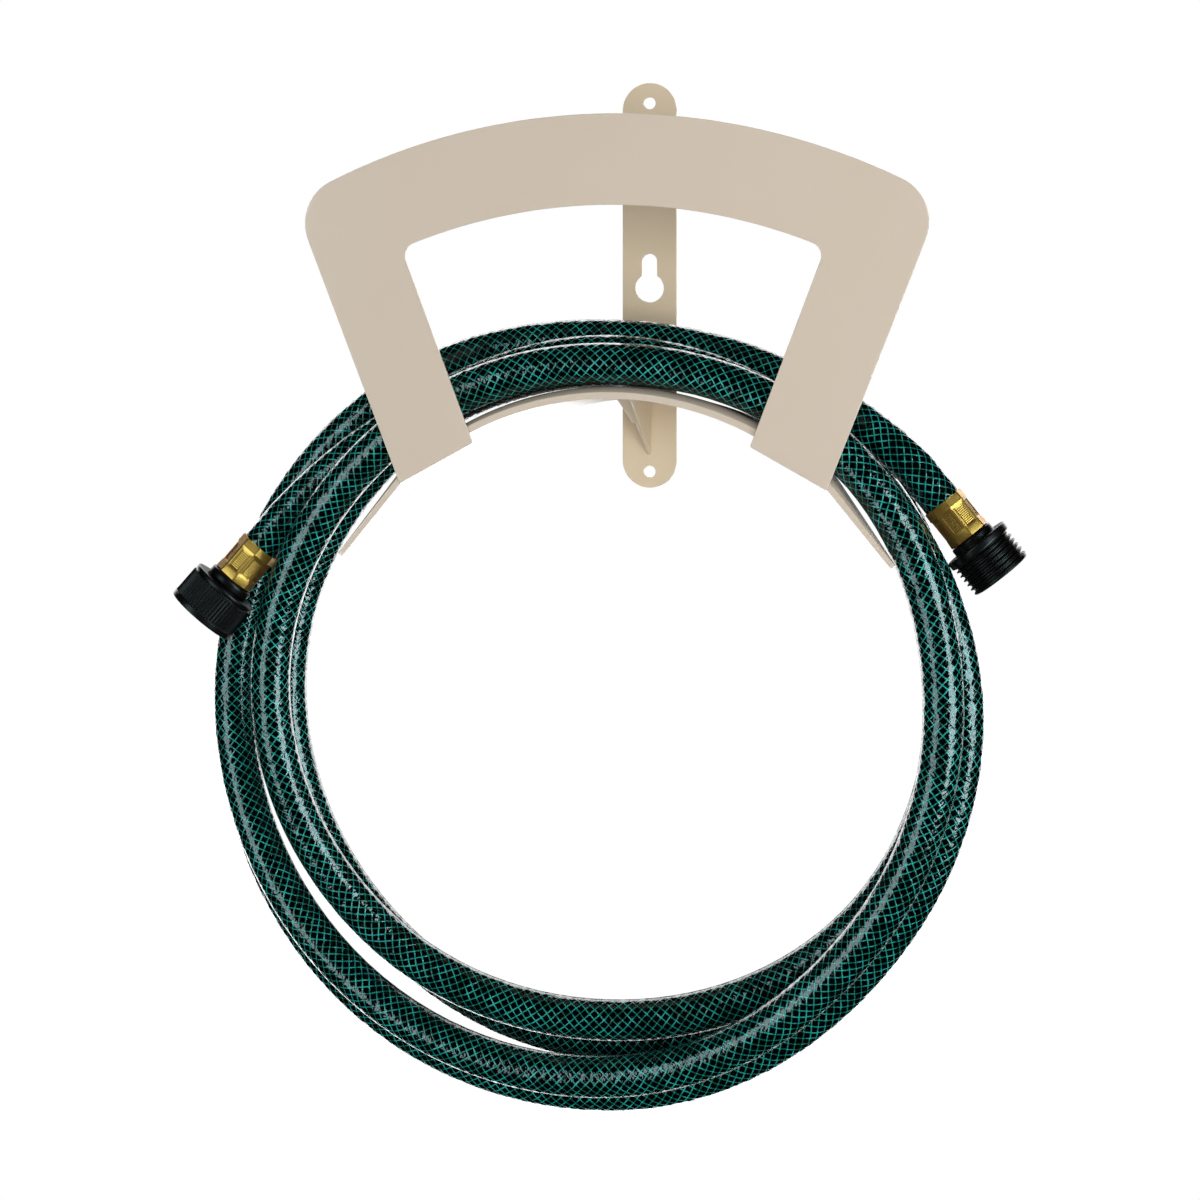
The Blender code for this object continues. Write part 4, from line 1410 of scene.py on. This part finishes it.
@dataclass
class MaleCoupling(Coupling):
    """Right coupling: brass sleeve, and a fitting with a collar, a flange and a thread."""

    collar: float = 0.0095
    collar_end: float = 0.0213
    flange: float = 0.0142
    flange_end: float = 0.0249
    end: float = 0.0381
    root: float = 0.0123
    crest: float = 0.0135
    mouth: float = 0.0085
    mouth_depth: float = 0.0120
    # Rounding of the corners from the collar to the flange, and from the end to the bore
    collar_cuts: tuple[float, ...] = (0.0009, FINE_WORK, 0.0009, 0.0011)
    mouth_cuts: tuple[float, ...] = (0.0004, 0.0006, FINE_WORK, FINE_WORK)
    # Radius from which a point belongs to the outer skin, which carries the thread
    outside_from: float = 0.0115
    thread_ends: Pair = (0.0004, 0.0009)
    thread_shares: Pair = (0.18, 0.32)
    thread_fade: float = 0.0006
    last_row_gap: float = 0.0002
    lip_length: float = 0.0016
    lip_slope: float = 0.0006
    lip_round: float = 0.0005
    lip_rise: float = 0.0009
    row_step: float = 0.00014
    segments: int = 120

    def build(self, brass: Material, plastic: Material, place: Matrix) -> list[Object]:
        """Build and dress the coupling.

        Args:
            brass: Finish of the sleeve.
            plastic: Finish of the fitting.
            place: Where the axis stands.

        Returns:
            Its two pieces.
        """
        floor = self.end - self.mouth_depth
        points = self.spigot_and_collar()
        points += [(self.flange, self.collar_end), (self.flange, self.flange_end)]
        cuts = [FINE_WORK] * 3 + [*self.collar_cuts]
        rows = np.arange(self.flange_end, self.end - self.last_row_gap, self.row_step)
        points += [(self.root, float(a)) for a in rows]
        cuts += [0.0] * len(rows)
        points += [(self.root, self.end), (self.mouth, self.end), (self.mouth, floor),
                   (self.bore, floor)]
        cuts += self.mouth_cuts
        radii, along = profile_arrays(points, cuts)
        turn = np.arange(self.segments) / self.segments
        outer = (radii > self.outside_from) & (along > self.flange_end)
        span = (self.flange_end + self.thread_ends[0], self.end - self.thread_ends[1])
        thread = self.thread(along, turn, span, self.crest - self.root)
        grid = radii[:, None] + np.where(outer[:, None], thread, 0.0)
        lip = np.clip((along - self.end + self.lip_length) / self.lip_slope, 0.0, 1.0)
        lip *= np.sqrt(np.clip((self.end - along) / self.lip_round, 0.0, 1.0))
        lipped = np.maximum(grid, self.root + self.lip_rise * lip[:, None])
        grid = np.where(outer[:, None], lipped, grid)
        mesh = turned_mesh("threaded_fitting", grid, along, place)
        fitting = dress("threaded_fitting", mesh, plastic, Body.HOSE_SET,
                        "male_fitting")
        return [BrassSleeve().build("right_sleeve", "male_ferrule", brass, place), fitting]


@dataclass
class Studio:
    """Camera, lamps, floor and surroundings."""

    camera_place: Triple = (0.1921, -1.1016, 0.0525)
    camera_turn: float = math.radians(11.02)
    lens: float = 76.7
    sensor: float = 36.0
    shift_y: float = -0.288
    clip: Pair = (0.01, 100.0)
    floor_height: float = -0.9
    floor_size: float = 12.0
    floor_colour: str = "#E6E6E4"
    floor_roughness: float = 0.9
    surround: float = 0.40
    ceiling: float = 0.3
    ceiling_start: float = 0.6
    front_gloss: float = 0.008
    rim_gloss: float = 3.4
    rim_outside: Pair = (0.69, 0.78)
    rim_inside: Pair = (0.99, 0.95)
    strip_turn: float = math.radians(46)
    strip_size: Pair = (0.85, 1.8)
    strip_radiances: Pair = (5.8, 12.5)
    strip_colour: str = "#CCEBEF"
    key_turn: float = math.radians(-40)
    key_size: Pair = (1.2, 1.2)
    key_radiance: float = 7.9
    key_height: float = -1.0
    fill_turn: float = math.radians(-1)
    fill_size: Pair = (0.8, 0.8)
    fill_radiance: float = 9.2
    fill_height: float = 0.15
    strip_height: float = -0.1
    lamp_distance: float = 2.0
    aim_depth: float = -0.05

    def build_camera(self) -> None:
        """Place the camera level, a little to the right of the hanger's middle."""
        data = bpy.data.cameras.new("camera")
        data.lens, data.sensor_width, data.shift_y = self.lens, self.sensor, self.shift_y
        data.clip_start, data.clip_end = self.clip
        camera = bpy.data.objects.new("camera", data)
        camera.location = self.camera_place
        camera.rotation_euler = (math.pi / 2, 0.0, self.camera_turn)
        bpy.context.scene.collection.objects.link(camera)
        bpy.context.scene.camera = camera

    def hang_lamp(self, name: str, turn: float, height: float, size: Pair,
                  radiance: float) -> Object:
        """Stand a rectangular lamp that faces the coil.

        Args:
            name: Its name.
            turn: How far it stands to the left of the camera's line.
            height: Its middle's height.
            size: Its width and height.
            radiance: How bright its face is, where 1 is white.

        Returns:
            The lamp.
        """
        data = bpy.data.lights.new(name, "AREA")
        data.shape, data.size, data.size_y = "RECTANGLE", *size
        data.energy = radiance * math.pi * size[0] * size[1]
        lamp = bpy.data.objects.new(name, data)
        heading = self.camera_turn - turn
        level = Vector((-math.sin(heading), math.cos(heading), 0.0))
        target = Vector((0.0, self.aim_depth, self.strip_height))
        lamp.location = target - level * self.lamp_distance
        lamp.location.z = height
        lamp.rotation_mode = "QUATERNION"
        lamp.rotation_quaternion = (target - lamp.location).to_track_quat("-Z", "Y")
        bpy.context.scene.collection.objects.link(lamp)
        return lamp

    def build_lamps(self) -> None:
        """Light the front, and stand a tall strip at each side for the hose to mirror."""
        for name, side, radiance in (("left_strip", 1.0, self.strip_radiances[0]),
                                     ("right_strip", -1.0, self.strip_radiances[1])):
            strip = self.hang_lamp(name, side * self.strip_turn, self.strip_height,
                                   self.strip_size, radiance)
            strip.visible_diffuse = False
            strip.data.color = srgb(self.strip_colour)[:3]
        key = self.hang_lamp("key_light", self.key_turn, self.key_height, self.key_size,
                             self.key_radiance)
        fill = self.hang_lamp("front_light", self.fill_turn, self.fill_height, self.fill_size,
                              self.fill_radiance)
        key.visible_glossy = fill.visible_glossy = False

    @staticmethod
    def seen_straight(tree: NodeTree) -> NodeSocket:
        """Tell the rays that the camera sends, also through clear things, from all others.

        Args:
            tree: The node tree that asks.

        Returns:
            1 for such a ray, or else 0.
        """
        path = add_node(tree, "ShaderNodeLightPath")
        seen = add_node(tree, "ShaderNodeMath",
                        {0: path.outputs["Is Camera Ray"], 1: path.outputs["Is Transmission Ray"]},
                        operation="MAXIMUM")
        return seen.outputs[0]

    def build_floor(self) -> None:
        """Lay a plain pale floor that the camera sees as white and nothing mirrors."""
        size = self.floor_size / 2
        mesh = bpy.data.meshes.new("floor")
        corners = [(x * size, y * size, self.floor_height)
                   for x, y in ((-1, -1), (1, -1), (1, 1), (-1, 1))]
        mesh.from_pydata(corners, [], [(0, 1, 2, 3)])
        material, tree, shader = start_material("pale_floor")
        fill_sockets(shader, {"Base Color": srgb(self.floor_colour),
                              "Roughness": self.floor_roughness})
        glow = add_node(tree, "ShaderNodeEmission")
        both = add_node(tree, "ShaderNodeMixShader",
                        {0: self.seen_straight(tree), 1: shader.outputs[0], 2: glow.outputs[0]})
        fill_sockets(tree.nodes["Material Output"], {"Surface": both.outputs[0]})
        mesh.materials.append(material)
        floor = bpy.data.objects.new("floor", mesh)
        bpy.context.scene.collection.objects.link(floor)
        floor.visible_glossy = False

    def build_surroundings(self) -> None:
        """Fill the room with soft light.

        The camera sees it white. Reflections see it dark but for a bright ring on the far
        side, which the edges of the hose and of the sheets mirror at a grazing angle.
        """
        world = bpy.data.worlds.new("white_studio")
        world.use_nodes = True
        bpy.context.scene.world = world
        tree = world.node_tree
        path = add_node(tree, "ShaderNodeLightPath")
        place = add_node(tree, "ShaderNodeTexCoord").outputs["Generated"]
        split = add_node(tree, "ShaderNodeSeparateXYZ", {0: place})
        ahead = (-math.sin(self.camera_turn), math.cos(self.camera_turn), 0.0)
        facing = add_node(tree, "ShaderNodeVectorMath", {0: place, 1: ahead},
                          operation="DOT_PRODUCT")
        edges = []
        for start, end in (self.rim_outside, self.rim_inside):
            edge = add_node(tree, "ShaderNodeMapRange",
                            {0: facing.outputs["Value"], 1: start, 2: end},
                            interpolation_type="SMOOTHSTEP")
            edges.append(edge.outputs[0])
        ring = add_node(tree, "ShaderNodeMath", {0: edges[0], 1: edges[1]}, operation="MULTIPLY")
        mirrored = add_node(tree, "ShaderNodeMapRange",
                            {0: ring.outputs[0], 3: self.front_gloss, 4: self.rim_gloss})
        soft = add_node(tree, "ShaderNodeMapRange",
                        {0: split.outputs["Z"], 2: self.ceiling_start, 3: self.surround,
                         4: self.ceiling}, interpolation_type="SMOOTHSTEP")
        gloss = add_node(tree, "ShaderNodeMix",
                         {0: path.outputs["Is Glossy Ray"], 2: soft.outputs[0],
                          3: mirrored.outputs[0]}, data_type="FLOAT")
        strength = add_node(tree, "ShaderNodeMix",
                            {0: self.seen_straight(tree), 2: gloss.outputs[0], 3: 1.0},
                            data_type="FLOAT")
        fill_sockets(tree.nodes["Background"], {"Strength": strength.outputs[0],
                                                "Color": (1, 1, 1, 1)})

    def build(self) -> None:
        """Set up the studio."""
        self.build_camera()
        self.build_lamps()
        self.build_floor()
        self.build_surroundings()
        bpy.context.scene.view_settings.view_transform = "Standard"


def main() -> None:
    """Build every piece and the studio, and note the sizes."""
    logging.basicConfig(level=logging.INFO, format="%(message)s")
    for name in ("Cube", "Light", "Camera"):
        if name in bpy.data.objects:
            bpy.data.objects.remove(bpy.data.objects[name], do_unlink=True)
    Hanger().build()
    hose = CoiledHose()
    brass, plastic = PressedBrass().build(), MouldedPlastic().build()
    left = coupling_place(hose.left_end, hose.left_axis)
    right = coupling_place(hose.right_end, hose.right_axis)
    couplings = FemaleCoupling().build(brass, plastic, WasherRubber().build(), left)
    couplings += MaleCoupling().build(brass, plastic, right)
    hose.build(couplings)
    Studio().build()


if __name__ == "__main__":
    main()
